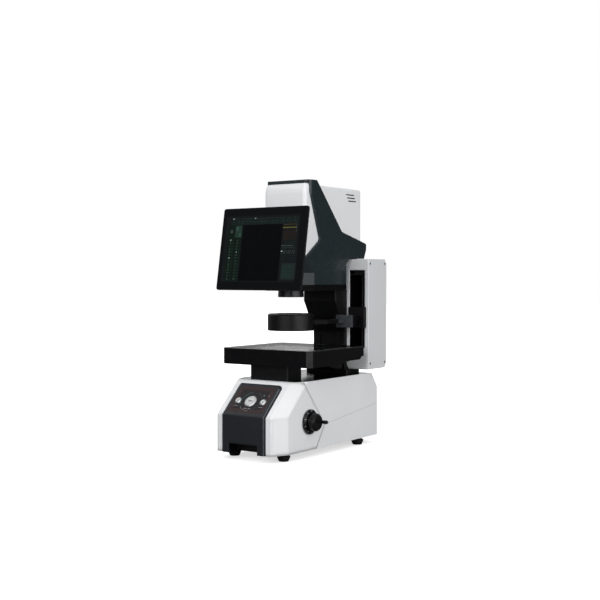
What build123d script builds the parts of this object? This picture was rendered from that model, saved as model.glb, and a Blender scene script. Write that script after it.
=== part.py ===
from build123d import *
import math
import os

os.makedirs("parts", exist_ok=True)

# Working frame while modelling, in millimetres: X to the right with X = 0 on the machine's
# centre plane, Y to the back with Y = 0 on the base's front face, Z up from the floor.
# At the end everything moves to a frame whose origin is under the middle of the whole machine.

# Base housing
base_half_width = 118.0
base_front_half_width = 96.0
facet_depth = 52.0
base_depth = 534.0
base_bottom = 22.0
base_top = 220.0
slope_start = 128.0
slope_run = 96.0
rear_chamfer_run = 34.0
rear_chamfer_drop = 44.0
rear_chamfer_radius = 9.0
cover_wall = 3.0
cover_edge_radius = 5.0
seam = 1.0

# Seams between the base covers, on the side of the base
seam_top_y = 129.0
seam_meet_y = 238.0
seam_meet_z = 88.0
seam_foot_y = 194.0
seam_rear_z = 123.0

# Bottom plate, feet and machine bed
plate_thickness = 6.0
inner_gap = 0.6
vent_width = 5.0
vent_pitch = 16.0
vent_length = 100.0
vent_rows = 6
foot_half_spacing_front = 88.0
foot_half_spacing_rear = 97.0
foot_front_y = 71.0
foot_rear_y = 449.0
foot_pad_height = 17.0
foot_top_radius = 19.0
foot_bottom_radius = 14.5
foot_edge = 2.5
foot_stud_radius = 5.0
foot_stud_reach = 10.0
foot_nut_radius = 8.5
bed_front_y = 117.6
bed_rear_y = 496.0
bed_front_wall = 4.0
bed_side_wall = 12.0
bed_top_thickness = 16.0
bed_top_drop = 0.5
bed_rib_depth = 30.0
bed_rib_width = 8.0
bed_rib_first_y = 265.0
bed_rib_pitch = 120.0

# Front fascia and control panel
fascia_half_width = 78.0
fascia_raise = 5.0
fascia_bevel = 7.0
fascia_reach = 116.0
fascia_corner_radius = 12.0
recess_half_width = 51.0
recess_top = 48.5
recess_depth = 40.0
tray_wall = 2.0
membrane_half_width = 62.0
membrane_low = 9.0
membrane_high = 106.0
membrane_thickness = 1.0
membrane_corner_radius = 6.0
button_row = 51.0
side_button_spacing = 44.0
start_button_radius = 17.5
side_button_radius = 8.4
bezel_width = 2.2
bezel_height = 1.6
button_height = 2.8
button_gap = 0.3
button_stem_length = 14.0
button_stem_share = 0.45
button_edge = 1.2

# Handwheel and lift drive
wheel_axis_y = 154.5
wheel_axis_z = 104.5
shaft_radius = 6.0
bearing_radius = 13.0
bearing_groove = 0.8
shaft_clearance = 0.05
shaft_hole_gap = 1.0
dial_radius = 36.0
dial_rim = 4.5
dial_thickness = 9.0
dial_gap = 1.5
knob_radius = 25.5
knob_waist = 20.5
knob_length = 22.0
knob_flutes = 12
flute_radius = 3.0
crank_offset = 17.0
crank_radius = 5.5
crank_length = 20.0
crank_gap = 0.4
crank_pin_radius = 2.5
gear_teeth = 16
gear_pitch_radius = 20.0
gear_face = 6.0
gear_addendum = 1.4
gear_dedendum = 2.2
gear_tip_share = 0.22
gear_root_share = 0.52
gear_hub_radius = 10.0
gear_hub_length = 12.0
lift_screw_radius = 6.0
lift_screw_top = 252.0
screw_bearing_z = 134.0
screw_bearing_height = 10.0
screw_web_reach = 30.0

# Lift housing and sleeve under the stage
housing_half_width = 67.0
housing_front_y = 119.0
housing_rear_y = 190.0
housing_top = 261.0
housing_wall = 3.0
housing_radius = 3.0
sleeve_wall = 3.0
sleeve_bottom = 172.0
sleeve_roof = 5.0
nut_web_thickness = 14.0
nut_boss_height = 12.0
nut_boss_radius = 13.0
web_window_start = 22.0
web_window_end = 50.0
web_window_margin = 12.0

# Stage
stage_half_width = 161.0
stage_front_y = 97.0
stage_rear_y = 397.0
stage_corner = 14.0
stage_top = 311.0
stage_edge = 1.5
skirt_bottom = 263.5
skirt_rise = 9.0
skirt_rise_start = 246.0
skirt_rise_end = 306.0
skirt_step_y = 363.0
skirt_wall = 3.0
skirt_gap = 1.5
stage_travel_x = 50.0
stage_travel_y = 25.0
running_margin = 3.0
plate_bottom = 264.0
plate_corner = 6.0
base_plate_thickness = 6.0
rail_height = 7.0
rail_width = 14.0
rail_groove = 1.5
rail_end_margin = 2.0
carriage_height = 11.0
carriage_width = 26.0
carriage_length = 30.0
carriage_lift = 1.0
carriage_gap = 0.5
depth_carriage_spacing = 104.0
width_carriage_spacing = 72.0
width_rail_lead = 12.0
saddle_thickness = 6.0
glass_thickness = 6.0
glass_proud = 1.0
glass_margin = 18.0
glass_gap = 0.3
light_radius = 52.0
light_rim = 4.0
light_top_gap = 4.0
drive_screw_radius = 3.0
drive_screw_lift = 2.2
drive_motor_width = 20.0
drive_motor_length = 36.0
depth_screw_drop = 12.0
depth_motor_flange = 4.0
nut_arm_width = 12.0
nut_arm_length = 16.0
width_nut_width = 24.0
width_nut_length = 14.0

# Knee behind the lift and its rails on the column
knee_inner_x = 44.0
knee_outer_x = 58.0
knee_tip_depth = 10.0
knee_root_depth = 28.0
knee_plate = 10.0
knee_block_width = 28.0
knee_block_depth = 12.0
column_rail_spacing = 36.0
column_rail_width = 12.0
column_rail_depth = 5.0
column_rail_margin = 8.0
rail_hole_radius = 3.0
rail_hole_pitch = 28.0

# Column and its foot
column_half_width = 60.0
column_front_y = 436.0
column_radius = 4.0
flare_bottom = 350.0
flare_top = 445.0
flare_reach = 54.0
column_foot_half_width = 77.0
column_foot_front_y = 420.0
column_foot_height = 14.0
column_bolt_inset = 9.0
column_bolt_radius = 6.2
column_bolt_depth = 7.0

# Head
head_bottom = 479.0
head_plate_thickness = 18.0
head_plate_inset = 3.0
shell_half_width = 81.0
shell_wall = 5.5
shell_bevel = 3.0
shell_front_y = 182.0
shell_rear_y = 505.0
shell_top = 806.0
shell_ledge_z = 576.0
shell_cheek_y = 267.0
shell_cheek_share = 0.4633
shell_brow_y = 208.5
shell_brow_drop = 13.0
shell_roof_front_y = 210.0
shell_roof_rear_y = 250.0
shell_corner_radius = 20.0
shell_hip_y = 386.0
shell_hip_share = 0.5459
shell_heel_y = 528.0
shell_heel_share = 0.4434
shell_heel_drop = 18.0
shell_waist_z = 556.0
shell_facet_x = 60.0
shell_facet_y = 235.0
chin_low = 532.0
chin_high = 571.0
cover_half_width = 75.0
front_cover_y = 197.0
front_cover_bottom = 578.0
front_cover_drop = 11.0
front_cover_lap = 14.0
front_cover_crown = 28.0
front_cover_corner = 11.0
rear_cover_y = 506.0
rear_cover_drop = 13.0
rear_cover_lap = 10.0
cover_radius = 8.0
side_vent_y = 418.0
side_vent_drop = 19.5
side_vent_pitch = 9.5
side_vent_shift = 6.0
side_vent_length = 46.0
side_vent_height = 3.2
side_vents = 3
rear_vent_length = 72.0
rear_vent_pitch = 8.0
rear_vent_drop = 93.0
rear_vents = 8

# Optics inside the head
optic_y = 230.0
lens_radius = 38.5
lens_bottom = 460.0
lens_mouth = 6.0
lens_step_share = 0.2477
lens_taper = 24.0
lens_upper_radius = 25.0
lens_top_share = 0.6453
lens_seat_gap = 0.5
lens_grip_z = 476.0
lens_grip_width = 3.0
spine_gap = 30.0
spine_half_width = 46.0
spine_thickness = 14.0
spine_top_share = 0.8287
spine_gusset_reach = 96.0
spine_gusset_height = 120.0
clamp_height = 18.0
clamp_wall = 4.0
lower_clamp_share = 0.1254
upper_clamp_share = 0.4312
camera_size = 44.0
camera_height = 62.0
camera_fins = 5
camera_fin_pitch = 8.0
camera_fin_depth = 2.0
camera_plug_radius = 7.0
camera_plug_height = 8.0

# Side box that lifts the ring light
box_left = 56.5
box_right = 134.0
box_plate = 4.0
box_front_y = 447.0
box_rear_y = 556.0
box_bottom = 234.0
box_top = 575.0
box_wall = 2.5
box_flange = 8.0
box_corner_run = 10.0
box_corner_rise = 14.0
box_edge_radius = 3.4
box_notch_lead = 38.0
box_notch_run = 22.0
box_notch_gap = 2.0
box_screw_radius = 3.3
slot_left = 70.5
slot_right = 125.0
slot_bottom = 300.0
slot_top = 541.0
ring_screw_radius = 5.0
ring_screw_setback = 34.0
ring_rail_width = 14.0
ring_rail_depth = 7.0
ring_rail_setback = 26.0
ring_motor_size = 42.0
ring_motor_height = 40.0
ring_shelf = 5.0
foot_block_height = 12.0
foot_block_half = 14.0

# Ring light and its carriage
ring_radius = 69.5
ring_bore = 45.0
ring_bottom = 361.0
ring_top = 411.0
ring_wall = 3.0
ring_mouth = 8.0
ring_clamp_y = 380.0
ring_clamp_thickness = 8.0
ring_clamp_bottom = 366.0
ring_clamp_top = 404.0
column_side_gap = 3.0
arm_thickness = 12.0
arm_width = 30.0
arm_bend_y = 300.0
arm_grip_x = 34.0
carriage_plate_depth = 13.0
carriage_front_gap = 2.0
ring_carriage_bottom = 363.0
ring_carriage_top = 427.0
ring_carriage_end = 132.0
ring_block_length = 24.0
ring_neck_half_width = 12.0
ring_slider_inset = 6.0

# Monitor
screen_half_width = 152.0
screen_height = 242.0
screen_depth = 18.0
screen_corner_radius = 7.0
screen_lean = 9.6
screen_center_y = 84.0
screen_center_z = 602.0
screen_glass = 3.0
screen_rim = 0.6
screen_edge = 6.0
screen_back_slope = 11.0
screen_hump_width = 220.0
screen_hump_height = 176.0
screen_hump_depth = 16.0
screen_hump_chamfer = 8.0
screen_vents = 7
screen_vent_pitch = 6.0
pivot_behind_glass = 46.0
pivot_above_centre = 18.0
pivot_radius = 5.0
hinge_block_width = 54.0
hinge_block_height = 40.0
bracket_half_width = 48.0
bracket_ear_gap = 1.0
bracket_ear = 7.0
bracket_plate = 6.0
bracket_above = 54.0
bracket_below = 14.0
pin_head_radius = 9.0
pin_head_length = 6.0

# Power inlet, power supply and control board
inlet_x = 52.0
inlet_z = 72.0
inlet_half_width = 14.0
inlet_half_height = 24.0
inlet_flange = 3.0
inlet_flange_thickness = 2.5
inlet_depth = 24.0
inlet_fit = 0.3
rocker_size = 16.0
rocker_gap = 0.6
rocker_offset = 12.5
rocker_pin_radius = 1.2
inlet_pin_side = 5.5
inlet_pin_low = 13.0
inlet_pin_high = 7.0
supply_length = 140.0
supply_width = 100.0
supply_height = 42.0
supply_rear_y = 470.0
supply_right_x = 12.0
board_half_width = 90.0
board_front_y = 200.0
board_rear_y = 310.0
board_post = 10.0
board_thickness = 2.0

# Derived sizes
slope_rise = base_top - slope_start
slope_length = math.hypot(slope_run, slope_rise)
slope_dir = Vector(0, slope_run / slope_length, slope_rise / slope_length)
slope_normal = Vector(0, -slope_rise / slope_length, slope_run / slope_length)
bend_growth = math.tan(math.atan2(slope_run, slope_rise) / 2)
plate_top = base_bottom + plate_thickness
bed_top = base_top - bed_top_drop
bed_inset = cover_wall + inner_gap
bed_inner_half = base_half_width - bed_inset - bed_side_wall
base_plate_top = plate_bottom + base_plate_thickness
saddle_bottom = base_plate_top + carriage_height
saddle_top = saddle_bottom + saddle_thickness
table_bottom = saddle_top + carriage_height
glass_bottom = stage_top + glass_proud - glass_thickness
stage_mid_y = (stage_front_y + stage_rear_y) / 2
plate_half_width = stage_half_width - skirt_wall - stage_travel_x - running_margin
plate_front_y = stage_front_y + skirt_wall + stage_travel_y + running_margin
plate_rear_y = stage_rear_y - skirt_wall - stage_travel_y - running_margin
saddle_front_y = stage_front_y + skirt_wall + running_margin
saddle_rear_y = stage_rear_y - skirt_wall - running_margin
window_x = light_radius + running_margin
window_y = light_radius + running_margin + stage_travel_y
depth_rail_x = plate_half_width - carriage_width / 2 - 1
width_rail_front_y = saddle_front_y + width_rail_lead + carriage_width / 2
width_rail_rear_y = plate_rear_y - carriage_width / 2
depth_screw_z = plate_bottom - depth_screw_drop
drive_screw_bore = drive_screw_radius + shaft_clearance
depth_motor_y = housing_rear_y + running_margin + 1
nut_reach = stage_travel_y + nut_arm_length / 2
depth_nut_y = plate_rear_y - nut_reach - running_margin * 2
width_screw_z = saddle_top + drive_screw_radius + drive_screw_lift
width_screw_y = width_rail_rear_y - carriage_width / 2 - drive_motor_width / 2 - running_margin
knee_rear_y = column_front_y - column_rail_depth - knee_block_depth + 4
column_bottom = bed_top + column_foot_height
head_floor = head_bottom + head_plate_thickness
head_height = shell_top - head_bottom
shell_cheek_z = head_bottom + head_height * shell_cheek_share
shell_brow_z = shell_top - shell_brow_drop
shell_hip_z = head_bottom + head_height * shell_hip_share
shell_heel_z = head_bottom + head_height * shell_heel_share
front_cover_top = shell_top - front_cover_drop
rear_cover_top = shell_top - rear_cover_drop
lens_step_z = head_bottom + head_height * lens_step_share
lens_top = head_bottom + head_height * lens_top_share
lower_clamp_z = head_bottom + head_height * lower_clamp_share
upper_clamp_z = head_bottom + head_height * upper_clamp_share
spine_top = head_bottom + head_height * spine_top_share
spine_front_y = optic_y + lens_radius + spine_gap
carriage_plate_y = box_front_y - carriage_front_gap - carriage_plate_depth
ring_axis_x = (slot_left + slot_right) / 2
ring_screw_y = box_front_y + ring_screw_setback
ring_rail_y = box_rear_y - box_wall - ring_rail_setback


def slab(x0, x1, y0, y1, z0, z1):
    """Rectangular block between two corners."""
    return Pos((x0 + x1) / 2, (y0 + y1) / 2, (z0 + z1) / 2) * Box(x1 - x0, y1 - y0, z1 - z0)


def pair(x0, x1, y0, y1, z0, z1):
    """The same block on the right and on the left of the centre plane."""
    return slab(x0, x1, y0, y1, z0, z1) + slab(-x1, -x0, y0, y1, z0, z1)


def rod(x, y, z0, z1, radius):
    """Upright cylinder."""
    return Pos(x, y, (z0 + z1) / 2) * Cylinder(radius, z1 - z0)


def rod_x(x0, x1, y, z, radius):
    """Cylinder along X."""
    return Pos((x0 + x1) / 2, y, z) * Rot(0, 90, 0) * Cylinder(radius, x1 - x0)


def rod_y(x, y0, y1, z, radius):
    """Cylinder along Y."""
    return Pos(x, (y0 + y1) / 2, z) * Rot(90, 0, 0) * Cylinder(radius, y1 - y0)


def outline_of(corners):
    """Closed outline from (a, b) corners; a third number rounds that corner."""
    outline = Polygon(*[corner[:2] for corner in corners], align=None)
    for corner in corners:
        if len(corner) > 2:
            point = outline.vertices().sort_by_distance((corner[0], corner[1], 0))[0]
            outline = fillet(point, corner[2])
    return outline


def side_prism(corners, x0, x1):
    """Side outline in (Y, Z), extruded from x0 to x1."""
    return extrude(Plane.YZ.offset(x0) * outline_of(corners), x1 - x0, dir=(1, 0, 0))


def front_prism(outline, y0, y1):
    """Front outline in (X, Z), extruded from y0 to y1."""
    plane = Plane(origin=(0, y0, 0), x_dir=(1, 0, 0), z_dir=(0, -1, 0))
    return extrude(plane * outline, y1 - y0, dir=(0, 1, 0))


def plan_prism(outline, z0, z1):
    """Plan outline in (X, Y), extruded from z0 to z1."""
    return extrude(Pos(0, 0, z0) * outline, z1 - z0, dir=(0, 0, 1))


def inset(outline, amount):
    """Outline moved inwards by an amount, with its corners kept sharp."""
    return offset(outline, amount=-amount, kind=Kind.INTERSECTION) if amount else outline


def turned(corners):
    """Solid of revolution about Z from an outline in (radius, height)."""
    return revolve(Plane.XZ * outline_of(corners), Axis.Z)


def slope_plane(raise_by, along=0.0):
    """Plane on the sloped front: local X to the right, local Y up the slope, Z outwards."""
    origin = Vector(0, 0, slope_start) + slope_normal * raise_by + slope_dir * along
    return Plane(origin=origin, x_dir=(1, 0, 0), z_dir=slope_normal)


def on_front(raise_by, along):
    """Point (Y, Z) above the sloped front, or on the fold when along is None."""
    if along is None:
        return (-raise_by, slope_start + raise_by * bend_growth)
    point = Vector(0, 0, slope_start) + slope_dir * along + slope_normal * raise_by
    return (point.Y, point.Z)


def base_outline(front_y, amount):
    """Plan outline of the base with its two front corner facets."""
    half, front_half = base_half_width, base_front_half_width
    corners = [
        (-front_half, front_y),
        (front_half, front_y),
        (half, front_y + facet_depth),
        (half, base_depth),
        (-half, base_depth),
        (-half, front_y + facet_depth),
    ]
    return inset(outline_of(corners), amount)


def base_form(amount, z0, z1):
    """The base's faceted form, inset on every side, between two heights."""
    turn_z = slope_start - amount * (slope_length / slope_rise - 1) * slope_rise / slope_run
    high_z = base_top + 1
    high_front = (high_z - turn_z) * slope_run / slope_rise
    upright = plan_prism(base_outline(0, amount), base_bottom - 1, turn_z)
    low = Pos(0, 0, turn_z) * base_outline(0, amount)
    high = Pos(0, 0, high_z) * base_outline(high_front, amount)
    form = upright + loft([low, high], ruled=True) - rear_chamfer(amount)
    return form & slab(-base_half_width, base_half_width, 0, base_depth, z0, z1)


def rear_chamfer(amount):
    """Wedge that cuts the chamfer along the base's upper rear edge."""
    length = math.hypot(rear_chamfer_run, rear_chamfer_drop)
    along = Vector(rear_chamfer_run / length, -rear_chamfer_drop / length)
    outward = Vector(rear_chamfer_drop / length, rear_chamfer_run / length)
    start = Vector(base_depth - rear_chamfer_run, base_top) - outward * amount
    reach = length * 2
    ends = [start - along * reach, start + along * reach]
    ends = ends + [ends[1] + outward * reach, ends[0] + outward * reach]
    return side_prism([(c.X, c.Y) for c in ends], -base_half_width * 2, base_half_width * 2)


def base_cover_shell():
    """All the white covers in one, before the seams split them."""
    outer = base_form(0, base_bottom, base_top)
    rear = base_depth - rear_chamfer_run - 1
    low = base_top - rear_chamfer_drop - 1
    folds = outer.edges().filter_by(Axis.X).filter_by(lambda e: e.center().Y > rear and e.center().Z > low)
    outer = fillet(folds, rear_chamfer_radius)
    corners = outer.edges().filter_by(
        lambda e: e.length > facet_depth * 1.5 and abs(e.center().X) > 1 and e.center().Y < facet_depth * 3
    )
    outer = fillet(corners, cover_edge_radius)
    inner = base_form(cover_wall, base_bottom - 1, base_top - cover_wall)
    opening = base_form(cover_wall, base_top - cover_wall * 2, base_top + 1) & slab(
        -base_half_width, base_half_width, bed_front_y - inner_gap, bed_rear_y + inner_gap, 0, base_top * 2
    )
    return outer - inner - opening


def cover_region(corners):
    """Everything inside a (Y, Z) outline, less half a seam."""
    outline = inset(outline_of(corners), seam / 2)
    return extrude(Plane.YZ.offset(-base_half_width * 2) * outline, base_half_width * 4, dir=(1, 0, 0))


def beyond(start, end, z):
    """Point at height z on the line from start through end, both (Y, Z)."""
    share = (z - start[1]) / (end[1] - start[1])
    return (start[0] + (end[0] - start[0]) * share, z)


seam_meet = (seam_meet_y, seam_meet_z)
cut_low, cut_high, cut_far = base_bottom - 60, base_top + 60, base_depth + 60
seam_foot = beyond(seam_meet, (seam_foot_y, base_bottom), cut_low)
seam_crown = beyond(seam_meet, (seam_top_y, base_top), cut_high)
seam_tail_rise = (seam_rear_z - seam_meet_z) / (base_depth - seam_meet_y)
seam_tail = (cut_far, seam_meet_z + seam_tail_rise * (cut_far - seam_meet_y))


def base_front_cover(shell):
    """Front cover: faceted nose, slope, the first part of both sides."""
    cover = shell & cover_region([(-60, cut_low), seam_foot, seam_meet, seam_crown, (-60, cut_high)])
    behind = cover_wall * 4
    window = side_prism(
        [
            (-1, recess_top + tray_wall),
            on_front(1, None),
            on_front(1, membrane_high),
            on_front(-behind, membrane_high),
            on_front(-behind, None),
            (behind, recess_top + tray_wall),
        ],
        -membrane_half_width,
        membrane_half_width,
    )
    reach = recess_half_width + tray_wall + inner_gap
    notch = slab(-reach, reach, -1, behind, 0, recess_top + tray_wall + inner_gap)
    hole_radius = shaft_radius + shaft_hole_gap
    shaft_hole = rod_x(base_half_width / 2, base_half_width * 2, wheel_axis_y, wheel_axis_z, hole_radius)
    return cover - window - notch - shaft_hole


def base_rear_cover(shell):
    """Upper cover around the sides and the back, with the chamfered rear edge."""
    return shell & cover_region([seam_meet, seam_tail, (cut_far, cut_high), seam_crown])


def base_lower_cover(shell):
    """Lower cover around both sides and the back, with the cut-out for the power inlet."""
    cover = shell & cover_region([seam_foot, (cut_far, cut_low), seam_tail, seam_meet])
    return cover - inlet_block(0, inlet_depth, 1)


def fascia():
    """Dark raised front: bevelled sides, rounded top corners, hand recess and panel seat."""
    block = side_prism(
        [
            (-fascia_raise, base_bottom),
            on_front(fascia_raise, None),
            on_front(fascia_raise, fascia_reach),
            on_front(0, fascia_reach),
            on_front(0, None),
            (0, base_bottom),
        ],
        -fascia_half_width,
        fascia_half_width,
    )
    plane = slope_plane(-1)
    tall = fascia_raise + 3
    frame = Rectangle(fascia_half_width * 3, fascia_reach * 4)
    rounded = fillet(Rectangle(fascia_half_width * 2, fascia_reach * 2).vertices(), fascia_corner_radius)
    block = block - extrude(plane * (frame - rounded), tall)
    block = block - fascia_side_wedge(1) - fascia_side_wedge(-1)
    reach = recess_half_width + tray_wall
    block = block + slab(-reach, reach, -1, recess_depth + tray_wall, base_bottom, recess_top + tray_wall)
    block = block - slab(-recess_half_width, recess_half_width, -60, recess_depth, 0, recess_top)
    for x, radius in button_places():
        hole = Pos(x, 0) * Circle(radius + button_gap)
        block = block - extrude(slope_plane(-fascia_raise, button_row) * hole, fascia_raise * 4)
    return block - extrude(slope_plane(fascia_raise - membrane_thickness) * membrane_outline(), fascia_raise)


def fascia_side_wedge(side):
    """Prism that takes the bevel off one long side of the fascia, over both of its faces."""
    step = fascia_bevel / fascia_raise
    grow = fascia_raise
    inner = (fascia_half_width - fascia_bevel - step * grow, fascia_raise + grow)
    outer = (fascia_half_width + step * 0.2, -0.2)
    section = [outer, inner, (fascia_half_width + step * grow, fascia_raise + grow)]
    foot = [Vector(side * x, -rise, 0) for x, rise in section]
    fold = [Vector(side * x, *on_front(rise, None)) for x, rise in section]
    crown = [Vector(side * x, *on_front(rise, slope_length)) for x, rise in section]
    faces = [make_face(Polyline(*points, close=True)) for points in (foot, fold, crown)]
    return loft(faces[:2], ruled=True) + loft(faces[1:], ruled=True)


def membrane_outline():
    """Rounded rectangle of the control membrane on the slope."""
    height = membrane_high - membrane_low
    outline = Pos(0, membrane_low + height / 2) * Rectangle(membrane_half_width * 2, height)
    return fillet(outline.vertices(), membrane_corner_radius)


def button_places():
    """Place across the panel and radius of each button: left, start, right."""
    left, right = [(side * side_button_spacing, side_button_radius) for side in (-1, 1)]
    return [left, (0.0, start_button_radius), right]


def control_membrane():
    """Printed membrane, let into the fascia around the buttons."""
    sheet = extrude(slope_plane(fascia_raise - membrane_thickness) * membrane_outline(), membrane_thickness)
    for x, radius in button_places():
        hole = Pos(x, 0) * Circle(radius + button_gap)
        sheet = sheet - extrude(slope_plane(0, button_row) * hole, fascia_raise * 2)
    return sheet


def button_bezels():
    """Raised metal rings around the three buttons."""
    rings = Part()
    for x, radius in button_places():
        bore = radius + button_gap
        profile = [(bore, 0), (bore + bezel_width, 0), (bore + bezel_width, bezel_height * 0.6)]
        profile = profile + [(bore + bezel_width * 0.6, bezel_height), (bore, bezel_height)]
        rings = rings + slope_plane(fascia_raise, button_row).location * Pos(x, 0, 0) * turned(profile)
    return rings


def push_button(x, radius):
    """Metal cap with a shallow dish, its stem and the switch plunger behind the panel."""
    face = button_height + fascia_raise
    stem = radius * button_stem_share
    profile = [
        (0, -button_stem_length),
        (stem, -button_stem_length),
        (stem, 0),
        (radius, 0),
        (radius, face - button_edge),
        (radius - button_edge, face),
        (radius * 0.7, face - button_edge / 3),
        (0, face - button_edge / 2),
    ]
    return slope_plane(0, button_row).location * Pos(x, 0, 0) * turned(profile)


def bottom_plate():
    """Sheet under the base with the vents, the foot holes and the gap for the hand recess."""
    plate = base_form(bed_inset, base_bottom, plate_top)
    reach = recess_half_width + tray_wall + inner_gap
    plate = plate - slab(-reach, reach, -10, recess_depth + tray_wall + inner_gap, 0, base_top)
    for x, y in foot_places():
        plate = plate - rod(x, y, 0, base_top, foot_stud_radius + 0.2)
    first = (bed_front_y + bed_rear_y - vent_pitch * vent_rows) / 2
    for row in range(vent_rows):
        y = first + row * vent_pitch
        plate = plate - slab(-vent_length / 2, vent_length / 2, y, y + vent_width, 0, base_top)
    return plate


def foot_places():
    """Centres of the four feet."""
    front = [(side * foot_half_spacing_front, foot_front_y) for side in (-1, 1)]
    rear = [(side * foot_half_spacing_rear, foot_rear_y) for side in (-1, 1)]
    return front + rear


def levelling_feet():
    """Rubber pads that widen upwards, each moulded on a stud with its lock nut."""
    top = foot_pad_height
    pad = turned(
        [
            (0, 0),
            (foot_bottom_radius - 1, 0),
            (foot_bottom_radius, 1),
            (foot_top_radius, top - foot_edge * 2),
            (foot_top_radius, top - foot_edge),
            (foot_top_radius - foot_edge, top),
            (0, top),
        ]
    )
    nut = plan_prism(RegularPolygon(foot_nut_radius, 6), top - 1, base_bottom)
    foot = pad + nut + rod(0, 0, top - 1, plate_top + foot_stud_reach, foot_stud_radius)
    group = Part()
    for x, y in foot_places():
        group = group + Pos(x, y, 0) * foot
    return group


def machine_bed():
    """Cast bed: top plate, side walls, web for the screw bearing, well for the sleeve, ribs."""
    outer = base_form(bed_inset, plate_top, bed_top)
    block = outer & slab(-base_half_width, base_half_width, bed_front_y, bed_rear_y, 0, base_top)
    front, rear = bed_front_y + bed_front_wall, bed_rear_y - bed_side_wall
    underside = bed_top - bed_top_thickness
    block = block - slab(-bed_inner_half, bed_inner_half, front, rear, 0, underside)
    half = bed_inner_half + 1
    web_top = screw_bearing_z + screw_bearing_height
    block = block + slab(-half, half, front - 1, wheel_axis_y + screw_web_reach, screw_bearing_z, web_top)
    for rib in range(2):
        y = bed_rib_first_y + rib * bed_rib_pitch
        block = block + slab(-half, half, y, y + bed_rib_width, underside - bed_rib_depth, underside + 1)
    block = block - rod(0, wheel_axis_y, 0, base_top - bed_top_thickness, bearing_radius)
    block = block - housing_room(sleeve_bottom - 6, base_top + 1)
    return block - rod_x(bed_inner_half - 5, base_half_width, wheel_axis_y, wheel_axis_z, bearing_radius)


def housing_room(z0, z1):
    """Space inside the lift housing."""
    half = housing_half_width - housing_wall
    return slab(-half, half, housing_front_y + housing_wall, housing_rear_y - housing_wall, z0, z1)


def lift_housing():
    """Fixed cover around the telescoping sleeve, standing on the bed."""
    half = housing_half_width
    outer = slab(-half, half, housing_front_y, housing_rear_y, bed_top, housing_top)
    outer = fillet(outer.edges().filter_by(Axis.Z), housing_radius)
    return outer - housing_room(0, stage_top)


def lift_sleeve():
    """Telescoping sleeve with the nut web that rides on the lift screw."""
    gap = housing_wall + inner_gap
    half = housing_half_width - gap
    y0, y1 = housing_front_y + gap, housing_rear_y - gap
    w = sleeve_wall
    nut_top = sleeve_bottom + nut_web_thickness
    boss_top = nut_top + nut_boss_height
    sleeve = slab(-half, half, y0, y1, sleeve_bottom, plate_bottom)
    sleeve = sleeve - slab(-half + w, half - w, y0 + w, y1 - w, nut_top, plate_bottom - sleeve_roof)
    margin = web_window_margin
    sleeve = sleeve - pair(web_window_start, web_window_end, y0 + margin, y1 - margin, 0, nut_top + 1)
    sleeve = sleeve + rod(0, wheel_axis_y, sleeve_bottom, boss_top, nut_boss_radius)
    sleeve = sleeve - slab(-half, half, 0, plate_front_y - inner_gap, skirt_bottom - skirt_gap, stage_top)
    return sleeve - rod(0, wheel_axis_y, 0, boss_top + 1, lift_screw_radius + shaft_clearance)


def mitre_gear(phase):
    """Straight mitre gear with its apex at the origin, opening upwards."""
    pitch = 360 / gear_teeth
    shrink = (gear_pitch_radius - gear_face) / gear_pitch_radius
    tip, root = gear_pitch_radius + gear_addendum, gear_pitch_radius - gear_dedendum
    flank = ((root, -gear_root_share), (tip, -gear_tip_share), (tip, gear_tip_share), (root, gear_root_share))

    def section(scale):
        corners = []
        for tooth in range(gear_teeth):
            for radius, share in flank:
                turn = math.radians(pitch * (tooth + phase + share / 2))
                corners.append((radius * scale * math.cos(turn), radius * scale * math.sin(turn)))
        return Pos(0, 0, gear_pitch_radius * scale) * outline_of(corners)

    return loft([section(shrink), section(1)], ruled=True)


def lift_screw():
    """Vertical screw with its bevel gear and the hub that sits under the bearing."""
    gear_back = wheel_axis_z + gear_pitch_radius
    gear = Pos(0, wheel_axis_y, wheel_axis_z) * mitre_gear(0)
    hub = rod(0, wheel_axis_y, gear_back - 1, screw_bearing_z - inner_gap, gear_hub_radius)
    return gear + hub + rod(0, wheel_axis_y, gear_back - gear_face, lift_screw_top, lift_screw_radius)


def handwheel_shaft():
    """Cross shaft with its bevel gear, from the lift screw to the handwheel."""
    gear = Pos(0, wheel_axis_y, wheel_axis_z) * Rot(0, 90, 0) * mitre_gear(0.5)
    hub_end = gear_pitch_radius + gear_hub_length
    hub = rod_x(gear_pitch_radius - 1, hub_end, wheel_axis_y, wheel_axis_z, gear_hub_radius)
    end = base_half_width + dial_gap + dial_thickness + knob_length / 2
    return gear + hub + rod_x(gear_pitch_radius - gear_face, end, wheel_axis_y, wheel_axis_z, shaft_radius)


def bearing(width, bore):
    """Ball bearing as one ring with the groove between its races on both faces."""
    middle = (bearing_radius + bore) / 2
    groove = Cylinder(middle + bearing_groove, bearing_groove * 2) - Cylinder(middle - bearing_groove, width)
    ring = Cylinder(bearing_radius, width) - Cylinder(bore, width * 2)
    return ring - Pos(0, 0, width / 2) * groove - Pos(0, 0, -width / 2) * groove


def drive_bearings():
    """Ball bearings of the lift screw and of the cross shaft."""
    upper = bearing(screw_bearing_height, lift_screw_radius + shaft_clearance)
    side = bearing(bed_side_wall, shaft_radius + shaft_clearance)
    upper = Pos(0, wheel_axis_y, screw_bearing_z + screw_bearing_height / 2) * upper
    side = Pos(bed_inner_half + bed_side_wall / 2, wheel_axis_y, wheel_axis_z) * Rot(0, 90, 0) * side
    return upper + side


def on_wheel(solid):
    """Place a solid that is turned about Z on the handwheel's axis, outside the base."""
    return Pos(base_half_width + dial_gap, wheel_axis_y, wheel_axis_z) * Rot(0, 90, 0) * solid


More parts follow.
